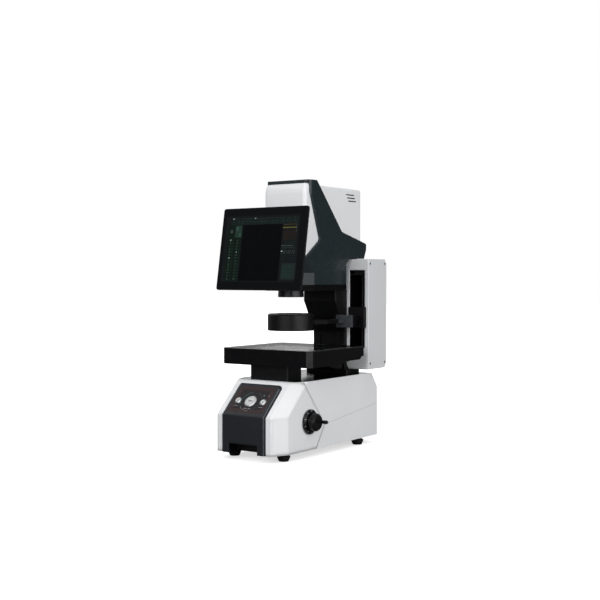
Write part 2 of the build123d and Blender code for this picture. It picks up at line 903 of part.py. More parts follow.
def handwheel():
    """Dial flange with a bevelled rim, waist, fluted knob and the pin of the crank grip."""
    end = dial_thickness + knob_length
    wheel = turned(
        [
            (0, 0),
            (dial_radius - 2, 0),
            (dial_radius, 2),
            (dial_radius, dial_rim),
            (dial_radius - 6, dial_thickness),
            (knob_waist + 1, dial_thickness),
            (knob_waist, dial_thickness + 3),
            (knob_radius, dial_thickness + 6),
            (knob_radius, end - 5, 2),
            (knob_radius - 5, end),
            (0, end),
        ]
    )
    for flute in range(knob_flutes):
        place = Rot(0, 0, 360 / knob_flutes * flute) * Pos(knob_radius + flute_radius / 2, 0, end)
        wheel = wheel - place * Cylinder(flute_radius, (knob_length - 6) * 2)
    wheel = wheel - rod(0, 0, -1, dial_thickness + knob_length / 2, shaft_radius)
    return on_wheel(wheel + rod(0, crank_offset, end - 1, end + crank_length, crank_pin_radius))


def crank_grip():
    """Grip that spins on the crank pin, a little fuller towards its end."""
    start = dial_thickness + knob_length + crank_gap
    end = dial_thickness + knob_length + crank_length - crank_gap
    bore = crank_pin_radius + shaft_clearance
    grip = turned(
        [
            (bore, start),
            (crank_radius - 1.3, start),
            (crank_radius - 0.8, start + 3),
            (crank_radius, (start + end) / 2),
            (crank_radius, end - 3, 2),
            (crank_radius - 1.5, end),
            (bore, end),
        ]
    )
    return on_wheel(Pos(0, crank_offset, 0) * grip)


def stage_outline(margin=0.0):
    """Plan outline of the stage with its cut corners, inset by a margin."""
    x, y0, y1, c = stage_half_width, stage_front_y, stage_rear_y, stage_corner
    right = [(x - c, y0), (x, y0 + c), (x, y1 - c), (x - c, y1)]
    left = [(-a, b) for a, b in reversed(right)]
    return inset(outline_of(right + left), margin)


def light_window(half_x):
    """Space over the back light that a moving plate leaves free."""
    return slab(-half_x, half_x, optic_y - window_y, optic_y + window_y, 0, stage_top * 2)


def stage_frame():
    """Table plate with hanging skirts, glass seat, light window, carriages and screw nut."""
    frame = plan_prism(stage_outline(), table_bottom, stage_top)
    ring = stage_outline() - stage_outline(skirt_wall)
    skirt = plan_prism(ring, skirt_bottom, table_bottom)
    low, mid, high = skirt_bottom, skirt_bottom + skirt_rise, skirt_bottom + skirt_rise * 2
    far = stage_rear_y + 10
    rise = side_prism(
        [
            (skirt_rise_start, low - 1),
            (skirt_rise_start, low),
            (skirt_rise_end, mid),
            (skirt_step_y, mid),
            (skirt_step_y + skirt_rise, high),
            (far, high),
            (far, low - 1),
        ],
        -stage_half_width - 1,
        stage_half_width + 1,
    )
    frame = frame + (skirt - rise)
    frame = chamfer(frame.faces().sort_by(Axis.Z)[-1].edges(), stage_edge)
    frame = frame - plan_prism(stage_outline(glass_margin), glass_bottom, stage_top + 1)
    frame = frame - light_window(window_x + stage_travel_x)
    places = [width_rail_front_y, width_rail_rear_y]
    return frame + carriages("x", places, width_carriage_spacing, 0, saddle_top) + width_nut()


def width_nut():
    """Nut block under the table on the width screw."""
    half_x, half_y = width_nut_width / 2, width_nut_length / 2
    y = width_screw_y
    block = slab(-half_x, half_x, y - half_y, y + half_y, saddle_top + 1, table_bottom)
    return block - rod_x(-half_x * 2, half_x * 2, y, width_screw_z, drive_screw_bore)


def stage_glass():
    """Glass plate with a small edge chamfer."""
    plate = plan_prism(stage_outline(glass_margin + glass_gap), glass_bottom, glass_bottom + glass_thickness)
    return chamfer(plate.faces().sort_by(Axis.Z)[-1].edges(), glass_proud / 2)


def rail_section():
    """Rail section with its two ball grooves."""
    half, mid, g = rail_width / 2, rail_height * 0.6, rail_groove
    right = [(half, 0), (half, mid - g), (half - g, mid), (half, mid + g), (half, rail_height)]
    return outline_of(right + [(-a, b) for a, b in reversed(right)])


def carriage_section():
    """Section of a carriage that straddles its rail with a small gap."""
    half, inner = carriage_width / 2, rail_width / 2 + carriage_gap
    top = rail_height + carriage_gap
    right = [(inner, top), (inner, carriage_lift), (half, carriage_lift), (half, carriage_height)]
    return outline_of(right + [(-a, b) for a, b in reversed(right)])


def run(section, axis, place, start, end, z0):
    """Section extruded along X or Y at a height."""
    if axis == "y":
        plane = Plane(origin=(place, start, z0), x_dir=(-1, 0, 0), z_dir=(0, 1, 0))
    else:
        plane = Plane(origin=(start, place, z0), x_dir=(0, 1, 0), z_dir=(1, 0, 0))
    return extrude(plane * section, end - start)


def rails(axis, places, start, end, z0):
    """Two parallel rails."""
    group = Part()
    for place in places:
        group = group + run(rail_section(), axis, place, start, end, z0)
    return group


def carriages(axis, places, spacing, centre, z0):
    """Two carriages on each of two rails."""
    group = Part()
    for place in places:
        for side in (-1, 1):
            start = centre + side * spacing / 2 - carriage_length / 2
            group = group + run(carriage_section(), axis, place, start, start + carriage_length, z0)
    return group


def stage_base_plate():
    """Plate on the knee that carries the lower rails and the back light."""
    half = plate_half_width
    plate = slab(-half, half, plate_front_y, plate_rear_y, plate_bottom, base_plate_top)
    plate = chamfer(plate.edges().filter_by(Axis.Z), stage_corner)
    reach = nut_reach + running_margin
    side = nut_arm_width / 2 + running_margin
    return plate - slab(-side, side, depth_nut_y - reach, depth_nut_y + reach, 0, stage_top)


def stage_saddle():
    """Middle plate: window for the light, carriages on the depth rails, nut arm below."""
    half = plate_half_width
    plate = slab(-half, half, saddle_front_y, saddle_rear_y, saddle_bottom, saddle_top)
    plate = chamfer(plate.edges().filter_by(Axis.Z), stage_corner) - light_window(window_x)
    side, end = nut_arm_width / 2, nut_arm_length / 2
    low = depth_screw_z - drive_screw_radius * 2.5
    arm = slab(-side, side, depth_nut_y - end, depth_nut_y + end, low, saddle_bottom + 1)
    arm = arm - rod_y(0, depth_nut_y - end * 2, depth_nut_y + end * 2, depth_screw_z, drive_screw_bore)
    places = [-depth_rail_x, depth_rail_x]
    return plate + arm + carriages("y", places, depth_carriage_spacing, stage_mid_y, base_plate_top)


def width_motor():
    """Flat motor on the saddle that turns the width screw."""
    x0 = -plate_half_width + running_margin
    half = drive_motor_width / 2
    top = table_bottom - inner_gap
    body = slab(x0, x0 + drive_motor_length, width_screw_y - half, width_screw_y + half, saddle_top, top)
    return chamfer(body.edges().filter_by(Axis.X), 1.5)


def width_screw():
    """Screw that moves the table across."""
    start = -plate_half_width + running_margin + drive_motor_length + glass_gap
    return rod_x(start, plate_half_width - running_margin, width_screw_y, width_screw_z, drive_screw_radius)


def width_screw_bearing():
    """Block on the saddle that holds the far end of the width screw."""
    x1 = plate_half_width
    half = drive_motor_width / 4
    x0, y = x1 - running_margin * 3, width_screw_y
    block = slab(x0, x1, y - half, y + half, saddle_top, table_bottom - inner_gap)
    return block - rod_x(0, x1 - running_margin, y, width_screw_z, drive_screw_bore)


def depth_motor():
    """Motor under the base plate that turns the depth screw, on its flange."""
    half = drive_motor_width / 2
    y1 = depth_motor_y + drive_motor_length
    body = slab(-half, half, depth_motor_y, y1, depth_screw_z - half, depth_screw_z + half)
    body = chamfer(body.edges().filter_by(Axis.Y), 1.5)
    wide = half + depth_motor_flange
    flange = slab(-wide, wide, y1, y1 + depth_motor_flange, depth_screw_z - half, plate_bottom)
    hole = rod_y(0, y1 - 1, y1 + depth_motor_flange + 1, depth_screw_z, drive_screw_bore)
    return body + (flange - hole)


def depth_screw():
    """Screw that moves the saddle to the front and the back."""
    start = depth_motor_y + drive_motor_length + glass_gap
    end = depth_nut_y + nut_reach + running_margin
    return rod_y(0, start, end, depth_screw_z, drive_screw_radius)


def back_light():
    """Round light unit under the glass: housing with a rim and a raised panel inside it."""
    top = glass_bottom - light_top_gap
    profile = [
        (0, base_plate_top),
        (light_radius - light_rim, base_plate_top),
        (light_radius, base_plate_top + light_rim),
        (light_radius, top),
        (light_radius - light_rim, top),
        (light_radius - light_rim, top - 2),
        (0, top - 2),
    ]
    return Pos(0, optic_y, 0) * turned(profile)


def stage_knee():
    """Cast knee: two ribs under the base plate, a cross plate and the blocks on the column rails."""
    top = plate_bottom
    y0, y1 = housing_rear_y + running_margin, knee_rear_y
    low = top - knee_root_depth
    corners = [
        (y0, top - knee_tip_depth),
        (y0, top),
        (y1, top),
        (y1, low),
        (y1 - knee_plate * 3, low),
        (y1 - knee_plate * 9, top - knee_root_depth / 2),
    ]
    knee = side_prism(corners, knee_inner_x, knee_outer_x) + side_prism(corners, -knee_outer_x, -knee_inner_x)
    knee = knee + slab(-knee_outer_x, knee_outer_x, y1 - knee_plate, y1, low, top)
    half = knee_block_width / 2
    slide = column_rail_width / 2 + carriage_gap
    face = column_front_y - column_rail_depth
    for x in (-column_rail_spacing, column_rail_spacing):
        block = slab(x - half, x + half, y1 - 1, column_front_y - 1, low, top - 2)
        knee = knee + (block - slab(x - slide, x + slide, face - carriage_gap, column_front_y, 0, stage_top))
    return knee


def column_rails():
    """Upright rails on the column's front face, with their screw holes."""
    z0, z1 = column_bottom + 1, flare_bottom - column_rail_margin
    face = column_front_y - column_rail_depth
    half = column_rail_width / 2
    group = Part()
    for x in (-column_rail_spacing, column_rail_spacing):
        rail = slab(x - half, x + half, face, column_front_y, z0, z1)
        holes = int((z1 - z0) / rail_hole_pitch)
        for step in range(holes):
            z = z0 + rail_hole_pitch * (step + 0.5)
            rail = rail - rod_y(x, face - 1, face + rail_hole_radius, z, rail_hole_radius)
        group = group + rail
    return group


def ring_rail():
    """Upright rail for the ring light's carriage on its backing strip, with the screw's foot block."""
    z0, z1 = box_bottom + box_wall, box_top - box_wall - ring_motor_height - ring_shelf * 3
    half = ring_rail_width / 2
    back_y = ring_rail_y + ring_rail_depth
    x = ring_axis_x
    rail = slab(x - half, x + half, ring_rail_y, back_y, z0 + foot_block_height, z1)
    x0, x1 = x - half * 2, x + half * 2
    strip = slab(x0, x1, back_y, box_rear_y - box_wall, z0 + box_corner_rise, z1)
    block = slab(x0, x1, ring_screw_y - foot_block_half, back_y, z0, z0 + foot_block_height + 3)
    hole = rod(x, ring_screw_y, z0 + ring_shelf, z1, ring_screw_radius + shaft_clearance)
    return rail + strip + (block - hole)


def column_foot():
    """Flanged foot of the column with its bolt recesses."""
    half = column_foot_half_width
    plate = slab(-half, half, column_foot_front_y, bed_rear_y, bed_top, column_bottom)
    plate = fillet(plate.edges().filter_by(Axis.Z), plate_corner)
    plate = chamfer(plate.faces().sort_by(Axis.Z)[-1].edges(), stage_edge)
    for x, y in column_bolt_places():
        z = column_bottom - column_bolt_depth
        plate = plate - rod(x, y, z, column_bottom + 1, column_bolt_radius + 0.3)
    return plate


def column_bolt_places():
    """Bolts at the corners of the column's foot, apart from the one under the side box."""
    x = column_foot_half_width - column_bolt_inset
    y0 = column_foot_front_y + column_bolt_inset + 3
    y1 = bed_rear_y - column_bolt_inset - 3
    return [(-x, y0), (-x, y1), (x, y0)]


def cap_screws():
    """Socket screws of the column's foot and of the side box's plate."""
    group = Part()
    for x, y in column_bolt_places():
        head = rod(x, y, column_bottom - column_bolt_depth, column_bottom - 0.5, column_bolt_radius)
        socket = plan_prism(RegularPolygon(column_bolt_radius / 2, 6), 0, column_bolt_depth)
        group = group + (head - Pos(x, y, column_bottom - column_bolt_depth / 2) * socket)
    face = box_right + box_plate
    for y, z in box_screw_places():
        head = rod_x(face - 2, face - 0.2, y, z, box_screw_radius)
        socket = Rot(0, 90, 0) * plan_prism(RegularPolygon(box_screw_radius / 2, 6), 0, box_plate)
        group = group + (head - Pos(face - 1.2, y, z) * socket)
    return group


def column():
    """Cast column whose front flares forwards under the head."""
    reach_y = column_front_y - flare_reach
    corners = [
        (column_front_y, column_bottom),
        (column_front_y, flare_bottom, 20),
        (reach_y, flare_top, 12),
        (reach_y, head_bottom),
        (bed_rear_y, head_bottom),
        (bed_rear_y, column_bottom),
    ]
    body = side_prism(corners, -column_half_width, column_half_width)
    edges = body.edges().filter_by(Axis.Z)
    edges = edges.filter_by(lambda e: e.center().Z < flare_bottom and e.center().Y < bed_rear_y - 1)
    seat = slab(box_left, column_half_width + 1, box_front_y, bed_rear_y + 1, box_bottom, box_top)
    return fillet(edges, column_radius) - seat


def shell_corners():
    """Side outline of the dark shell in (Y, Z)."""
    return [
        (shell_front_y, head_floor),
        (shell_front_y, shell_ledge_z, 2),
        (front_cover_y - 6, shell_ledge_z + 1),
        (shell_cheek_y, shell_cheek_z, 11),
        (shell_brow_y, shell_brow_z),
        (shell_roof_front_y, shell_top, 2),
        (shell_roof_rear_y, shell_top, 3),
        (shell_hip_y, shell_hip_z, 16),
        (shell_heel_y, shell_heel_z, 8),
        (shell_heel_y - 1, shell_heel_z - shell_heel_drop, 12),
        (shell_rear_y, shell_waist_z, 30),
        (shell_rear_y, head_floor),
    ]


def shell_room_corners():
    """Room inside the shell, open towards the two white covers and downwards."""
    w = shell_wall
    lip = front_cover_y - inner_gap
    ledge = shell_ledge_z + 1.5
    rear_lip = rear_cover_y + inner_gap
    return [
        (shell_front_y + w, head_floor - 10),
        (shell_front_y + w, ledge - w),
        (lip, ledge - w + 1),
        (lip, shell_ledge_z + 60),
        (shell_front_y - 20, shell_ledge_z + 80),
        (shell_front_y - 20, shell_brow_z - 60),
        (shell_brow_y, shell_top - w * 2),
        (shell_roof_front_y + 1, shell_top - w),
        (shell_roof_rear_y + 4, shell_top - w),
        (shell_roof_rear_y + 80, shell_top),
        (rear_lip, shell_top),
        (rear_lip, shell_heel_z + 5 - w),
        (shell_heel_y - w, shell_heel_z - w),
        (shell_heel_y - w - 1, shell_heel_z - shell_heel_drop),
        (shell_rear_y - w, shell_waist_z),
        (shell_rear_y - w, head_floor - 10),
    ]


def box_notch(grow):
    """Space that the head leaves free for the side box."""
    front, rear = box_front_y - box_notch_lead - grow, box_rear_y + 40
    top = box_top + box_notch_gap + grow
    corners = [
        (front, 0),
        (front, box_top - box_corner_rise),
        (front + box_notch_run, top),
        (rear, top),
        (rear, 0),
    ]
    return side_prism(corners, box_left - box_notch_gap - grow, shell_half_width * 2)


def head_facets(grow):
    """Wedges that cut the corner facets and the chin off the front of the head."""
    wedges = Part()
    far = shell_half_width + 20
    ahead = shell_front_y - 20
    for side in (-1, 1):
        edge = side * (shell_half_width - grow)
        inner = side * (shell_facet_x - grow)
        tip = side * (shell_half_width - grow - 0.2)
        beside = side * far
        low = [(edge, shell_facet_y), (inner, shell_front_y), (inner, ahead)]
        low = low + [(beside, ahead), (beside, shell_facet_y)]
        high = [(edge, shell_front_y), (tip, shell_front_y - 0.1), (tip, ahead)]
        high = high + [(beside, ahead), (beside, shell_front_y)]
        wedges = wedges + plan_prism(outline_of(low), head_bottom - 5, chin_low)
        ends = [Pos(0, 0, chin_low) * outline_of(low), Pos(0, 0, chin_high) * outline_of(high)]
        wedges = wedges + loft(ends, ruled=True)
    return wedges


def roof_corners():
    """What the round front corners take off the shell's roof and the upper part of its sides."""
    r, far = shell_corner_radius, shell_half_width + 1
    x, y = shell_half_width - r, shell_roof_front_y + r
    front = shell_brow_y - 1
    corners = pair(x, far, front, y, shell_cheek_z, shell_top + 1)
    return corners - rod(x, y, 0, shell_top * 2, r) - rod(-x, y, 0, shell_top * 2, r)


def head_shell():
    """Dark moulded shell: over the top, diagonally down both sides and around the lower head."""
    outer = side_prism(shell_corners(), -shell_half_width, shell_half_width)
    rim = outer.edges().filter_by(
        lambda e: abs(abs(e.center().X) - shell_half_width) < 0.1
        and shell_ledge_z + 5 < e.center().Z < shell_brow_z
        and e.center().Y < shell_cheek_y
    )
    outer = chamfer(rim, shell_bevel) - head_facets(0) - roof_corners()
    half = shell_half_width - shell_wall
    room = side_prism(shell_room_corners(), -half, half) - head_facets(shell_wall) - box_notch(shell_wall)
    return outer - room - box_notch(0)


def head_plate():
    """Black plate that closes the head from below and carries the optics."""
    w = shell_half_width - head_plate_inset
    front = shell_front_y + head_plate_inset
    notch_x = box_left - box_notch_gap
    notch_y = box_front_y - box_notch_lead
    corners = [
        (-shell_facet_x, front),
        (shell_facet_x, front),
        (w, shell_facet_y + head_plate_inset),
        (w, notch_y),
        (notch_x, notch_y),
        (notch_x, bed_rear_y),
        (-w, bed_rear_y),
        (-w, shell_facet_y + head_plate_inset),
    ]
    plate = plan_prism(outline_of(corners), head_bottom, head_floor)
    return plate - rod(0, optic_y, 0, shell_top, lens_radius + lens_seat_gap)


def head_spine():
    """Upright casting behind the optics, with the two rings that clamp the lens."""
    y1 = spine_front_y + spine_thickness
    spine = slab(-spine_half_width, spine_half_width, spine_front_y, y1, head_floor, spine_top)
    reach, height = spine_gusset_reach, spine_gusset_height
    gusset = [(y1 - 1, head_floor), (y1 + reach, head_floor), (y1 - 1, head_floor + height)]
    spine = spine + side_prism(gusset, -spine_thickness / 2, spine_thickness / 2)
    for z, radius in ((lower_clamp_z, lens_radius), (upper_clamp_z, lens_upper_radius)):
        outer = radius + clamp_wall
        ring = slab(-outer, outer, optic_y, spine_front_y + 1, z, z + clamp_height)
        ring = ring + rod(0, optic_y, z, z + clamp_height, outer)
        split = slab(outer / 2, outer * 2, optic_y - 1, optic_y + 1, z, z + clamp_height)
        spine = spine + (ring - rod(0, optic_y, 0, shell_top, radius) - split)
    return spine


def lens_barrel():
    """Telecentric lens: wide front barrel with a grip groove, taper, slim upper barrel."""
    r, bottom = lens_radius, lens_bottom
    profile = [
        (0, bottom + lens_mouth),
        (r - 5, bottom + lens_mouth),
        (r - 4, bottom),
        (r - 1, bottom),
        (r, bottom + 1),
        (r, lens_grip_z - lens_grip_width),
        (r - 1, lens_grip_z - lens_grip_width),
        (r - 1, lens_grip_z),
        (r, lens_grip_z),
        (r, lens_step_z),
        (lens_upper_radius, lens_step_z + lens_taper),
        (lens_upper_radius, lens_top),
        (0, lens_top),
    ]
    return Pos(0, optic_y, 0) * turned(profile)


def lens_front_glass():
    """Front element, seated in the barrel's mouth."""
    r = lens_radius - 5.2
    top = lens_bottom + lens_mouth
    profile = [(0, top - 4), (r * 0.5, top - 3.7), (r * 0.8, top - 3), (r, top - 2), (r, top), (0, top)]
    return Pos(0, optic_y, 0) * turned(profile)


def camera():
    """Camera on top of the lens, with its cooling fins and connector."""
    half = camera_size / 2
    top = lens_top + camera_height
    body = slab(-half, half, optic_y - half, optic_y + half, lens_top, top)
    inner = half - camera_fin_depth
    for fin in range(camera_fins):
        z = lens_top + camera_fin_pitch * (fin + 1.5)
        y0, y1 = optic_y - half - 1, optic_y + half + 1
        body = body - pair(inner, half + 1, y0, y1, z, z + camera_fin_pitch / 2)
    return body + rod(0, optic_y, top, top + camera_plug_height, camera_plug_radius)


def head_front_cover():
    """White front cover with a round crown and round corners, lapping inside the shell's sides."""

    def form(w):
        y, top, lap = front_cover_y + w, front_cover_top - w, front_cover_lap + w
        low = front_cover_bottom - (1 if w else 0)
        corners = [
            (y, low),
            (y, top, front_cover_crown - w),
            (shell_roof_rear_y + w, top),
            (shell_cheek_y + lap / 2, shell_cheek_z + 8),
            (shell_cheek_y + lap / 2, shell_cheek_z - 8),
            (y + lap, low),
        ]
        solid = side_prism(corners, -cover_half_width + w, cover_half_width - w)
        uprights = solid.edges().filter_by(Axis.Z).filter_by(lambda e: e.center().Y < y + 0.1)
        return fillet(uprights, front_cover_corner - w)

    return form(0) - form(cover_wall)


def head_rear_cover():
    """White rear cover with its rounded rear edges and the vent slots on both sides and the back."""

    def form(w):
        y, top, lap = rear_cover_y - w, rear_cover_top - w, rear_cover_lap + w
        corners = [
            (shell_roof_rear_y + 16 - lap, top),
            (y, top),
            (y, shell_heel_z + 12 - lap),
            (shell_hip_y + 8 - w, shell_hip_z - 1 - lap),
            (shell_hip_y - 4 - lap, shell_hip_z + 8 - lap / 2),
        ]
        return side_prism(corners, -cover_half_width + w, cover_half_width - w)

    outer = form(0)
    crown = outer.edges().filter_by(lambda e: e.center().Z > rear_cover_top - 0.1)
    crown = crown.filter_by(lambda e: e.center().Y > shell_roof_rear_y + 20)
    upright = outer.edges().filter_by(Axis.Z).filter_by(lambda e: e.center().Y > rear_cover_y - 0.1)
    cover = fillet(crown + upright, cover_radius) - form(cover_wall)
    for row in range(side_vents):
        y0 = side_vent_y + row * side_vent_shift
        z = rear_cover_top - side_vent_drop - row * side_vent_pitch
        half = side_vent_height / 2
        reach = cover_half_width * 2
        slot = slab(-reach, reach, y0, y0 + side_vent_length, z - half, z + half)
        cover = cover - fillet(slot.edges().filter_by(Axis.X), half * 0.9)
    for row in range(rear_vents):
        z = rear_cover_top - rear_vent_drop + row * rear_vent_pitch
        half = side_vent_height / 2
        reach = rear_vent_length / 2
        slot = slab(-reach, reach, rear_cover_y - 10, rear_cover_y + 10, z - half, z + half)
        cover = cover - fillet(slot.edges().filter_by(Axis.Y), half * 0.9)
    return cover


def box_outline(amount):
    """Front outline of the side box in (X, Z) with its cut left corners."""
    x0, x1, z0, z1 = box_left, box_right, box_bottom, box_top
    inner, rise = box_left + box_corner_run, box_corner_rise
    corners = [(x0, z0 + rise), (inner, z0), (x1, z0), (x1, z1), (inner, z1), (x0, z1 - rise)]
    return inset(outline_of(corners), amount)


def box_rear_corners():
    """Cut corners at the top and bottom of the box's rear edge."""
    y, z0, z1 = box_rear_y - box_corner_run, box_bottom, box_top
    run, rise = box_corner_run * 2, box_corner_rise * 2
    top = [(y, z1), (y + run, z1 - rise), (y + run, z1 + 1), (y, z1 + 1)]
    low = [(y, z0), (y, z0 - 1), (y + run, z0 - 1), (y + run, z0 + rise)]
    return side_prism(top, box_left - 1, box_right * 2) + side_prism(low, box_left - 1, box_right * 2)


def box_cover():
    """White box cover with the slot for the ring light's carriage, open on its right side."""
    y0, y1, w = box_front_y, box_rear_y, box_wall
    outer = front_prism(box_outline(0), y0, y1) - box_rear_corners()
    room = front_prism(box_outline(w), y0 + w, y1 - w) & slab(0, box_right * 2, 0, y1, box_bottom, box_top)
    corner = Pos(0, -w, 0) * box_rear_corners()
    z0, z1 = box_bottom + box_flange, box_top - box_flange
    mouth = slab(box_right - w - 1, box_right + 1, y0 + box_flange, y1 - box_flange * 2, z0, z1)
    slot = slab(slot_left, slot_right, y0 - 5, y0 + 10, slot_bottom, slot_top)
    return outer - (room - corner) - (mouth - corner) - slot


def box_side_plate():
    """Light side plate of the box with a rounded front edge and four screw recesses."""
    face = box_right + box_plate
    plate = slab(box_right, face, box_front_y, box_rear_y, box_bottom, box_top)
    uprights = plate.edges().filter_by(Axis.Z)
    edge = uprights.filter_by(lambda e: e.center().X > face - 0.1 and e.center().Y < box_front_y + 0.1)
    plate = fillet(edge, box_edge_radius) - box_rear_corners()
    for y, z in box_screw_places():
        plate = plate - rod_x(face - 2, face + 2, y, z, box_screw_radius + 0.3)
    return plate


def box_screw_places():
    """Screws near the corners of the side plate, as (Y, Z)."""
    y0, y1 = box_front_y + 12, box_rear_y - 9
    z0, z1 = box_bottom + 18, box_top - 14
    return [(y0, z0), (y0, z1), (y1, z0), (y1, z1)]


def ring_motor():
    """Lift motor at the top of the side box, on its shelf."""
    top = box_top - box_wall - 2
    half = ring_motor_size / 2
    x, y = ring_axis_x, ring_screw_y
    low = top - ring_motor_height
    body = slab(x - half, x + half, y - half, y + half, low, top)
    body = chamfer(body.edges().filter_by(Axis.Z), 4)
    x0, x1 = box_left + box_wall, box_right - box_wall
    shelf = slab(x0, x1, y - half, box_rear_y - box_wall, low - ring_shelf, low)
    return body + shelf - rod(x, y, low - ring_shelf - 1, low + 4, ring_screw_radius + shaft_clearance)


def ring_screw():
    """Lift screw of the ring light."""
    low = box_bottom + box_wall + ring_shelf + glass_gap
    top = box_top - box_wall - 2 - ring_motor_height
    return rod(ring_axis_x, ring_screw_y, low, top + 4 - glass_gap, ring_screw_radius)


def ring_carriage():
    """Carriage: block on the rail, neck through the slot, front plate, arm root and locking block."""
    x = ring_axis_x
    z0, z1 = ring_carriage_bottom, ring_carriage_top
    inner0, inner1 = z0 + ring_slider_inset, z1 - ring_slider_inset
    half = ring_rail_width
    front, back = ring_screw_y - foot_block_half, ring_rail_y + ring_rail_depth
    block = slab(x - half, x + half, front, back - 2, inner0, inner1)
    slide = ring_rail_width / 2 + carriage_gap
    block = block - slab(x - slide, x + slide, ring_rail_y - carriage_gap, back, 0, shell_top)
    block = block - rod(x, ring_screw_y, 0, shell_top, ring_screw_radius + shaft_clearance)
    neck_y = ring_screw_y - foot_block_half + 1
    neck_half = ring_neck_half_width
    front, back = carriage_plate_y, carriage_plate_y + carriage_plate_depth
    neck = slab(x - neck_half, x + neck_half, back - 1, neck_y, inner0 + 6, inner1 - 6)
    split_x = ring_carriage_end - ring_block_length
    plate = slab(slot_left + 4, split_x + 1, front, back, z0, z1)
    plate = fillet(plate.edges().filter_by(Axis.Y), 3)
    root_x = column_half_width + column_side_gap * 2
    clamp_back = ring_clamp_y + ring_clamp_thickness
    root = slab(root_x, split_x, clamp_back, front + 1, ring_clamp_bottom + 2, ring_clamp_top - 2)
    lock = slab(split_x, ring_carriage_end, front, back, z0, z1)
    lock = fillet(lock.edges().filter_by(Axis.Z), 2)
    lock_x = split_x + ring_block_length / 2
    lock_z = z0 + ring_block_length * 0.7
    boss = rod_y(lock_x, front - 3, front + 1, lock_z, 7)
    socket = rod_y(lock_x, front - 4, front - 1, lock_z, 3.5)
    return block + neck + plate + root + lock + boss - socket


def ring_clamp_block():
    """Dark grey clamp block that joins the arm to the carriage."""
    x0, x1 = column_half_width + column_side_gap, slot_right - 6
    y0 = ring_clamp_y
    z0, z1 = ring_clamp_bottom, ring_clamp_top
    block = slab(x0, x1, y0, y0 + ring_clamp_thickness, z0, z1)
    block = fillet(block.edges().filter_by(Axis.Y), 2)
    for x in (x0 + 12, x1 - 12):
        for z in (z0 + 9, z1 - 9):
            block = block - rod_y(x, y0 - 1, y0 + 3, z, rail_hole_radius)
    return block


def ring_arm():
    """Flat arm from the clamp block to the ring light, cut round to hug it."""
    x0 = column_half_width + column_side_gap + 2
    x1 = x0 + arm_width
    z0 = (ring_bottom + ring_top) / 2 - arm_thickness / 2
    corners = [
        (x0, ring_clamp_y),
        (x0, arm_bend_y + arm_width, 10),
        (arm_grip_x, optic_y + ring_radius),
        (arm_grip_x, optic_y),
        (ring_radius + 8, optic_y + arm_width / 2, 6),
        (x1, arm_bend_y - arm_width / 2, 14),
        (x1, ring_clamp_y),
    ]
    arm = plan_prism(outline_of(corners), z0, z0 + arm_thickness)
    return arm - rod(0, optic_y, 0, shell_top, ring_radius)


def ring_light():
    """Ring light housing: outer wall, roof, inner wall and open mouth."""
    w, top, low = ring_wall, ring_top, ring_bottom
    profile = [
        (ring_bore, low + ring_mouth),
        (ring_bore + w, low + ring_mouth),
        (ring_bore + w, top - w),
        (ring_radius - w, top - w),
        (ring_radius - w, low),
        (ring_radius - 1, low),
        (ring_radius, low + 1),
        (ring_radius, top - 4),
        (ring_radius - 3, top),
        (ring_bore, top),
    ]
    return Pos(0, optic_y, 0) * turned(profile)


def ring_diffuser():
    """Sloped diffuser ring that closes the mouth of the ring light, with the lamp board above it."""
    w, low = ring_wall, ring_bottom
    inner, outer = ring_bore + w + 0.2, ring_radius - w - 0.2
    slope = [(inner, low + ring_mouth + 1), (outer, low + 1)]
    back = [(outer, low + 4), (inner, low + ring_mouth + 4)]
    return Pos(0, optic_y, 0) * turned(slope + back)


def screen_place():
    """Place of the monitor: local X right, local Y up the screen, local Z out of the glass."""
    lean = math.radians(screen_lean)
    origin = (0, screen_center_y, screen_center_z)
    return Plane(origin=origin, x_dir=(1, 0, 0), z_dir=(0, -math.cos(lean), math.sin(lean))).location


def screen_sheet(rim, z0, z1):
    """Rounded plate of the monitor's outline, inset by a rim."""
    radius = screen_corner_radius
    sheet = fillet(Rectangle((screen_half_width - rim) * 2, screen_height - rim * 2).vertices(), radius)
    return plan_prism(sheet, z0, z1)


def monitor_glass():
    """Front glass of the monitor."""
    sheet = screen_sheet(screen_rim, -screen_glass, 0)
    return screen_place() * chamfer(sheet.faces().sort_by(Axis.Z)[-1].edges(), 0.5)


def monitor_housing():
    """Rear shell of the monitor: thin rim, raised back, cooling slots and the tilt block."""
    outlines = []
    for z, amount in ((-screen_depth, screen_back_slope), (-screen_edge, 0)):
        outline = Rectangle((screen_half_width - amount) * 2, screen_height - amount * 2)
        outlines.append(Pos(0, 0, z) * fillet(outline.vertices(), screen_corner_radius))
    body = loft(outlines, ruled=True) + screen_sheet(0, -screen_edge, -0.4)
    body = body - screen_sheet(screen_rim, -screen_glass, 1)
    back = -screen_depth - screen_hump_depth
    hump = fillet(Rectangle(screen_hump_width, screen_hump_height).vertices(), screen_hump_chamfer + 4)
    hump = plan_prism(hump, back, -screen_depth + 1)
    body = body + chamfer(hump.faces().sort_by(Axis.Z)[0].edges(), screen_hump_chamfer)
    for row in range(screen_vents):
        y = -screen_hump_height / 2 + 16 + row * screen_vent_pitch
        body = body - Pos(0, y, back) * Box(screen_hump_width / 2, screen_vent_pitch / 2, 6)
    end = -pivot_behind_glass - hinge_block_height / 4
    half = hinge_block_width / 2
    low, high = pivot_above_centre - hinge_block_height / 2, pivot_above_centre + hinge_block_height / 2
    block = slab(-half, half, low, high, end, back + 2)
    block = fillet(block.edges().filter_by(Axis.X).filter_by(lambda e: e.center().Z < end + 1), 7)
    bore = rod_x(-half * 2, half * 2, pivot_above_centre, -pivot_behind_glass, pivot_radius + shaft_clearance)
    return screen_place() * (body + block - bore)


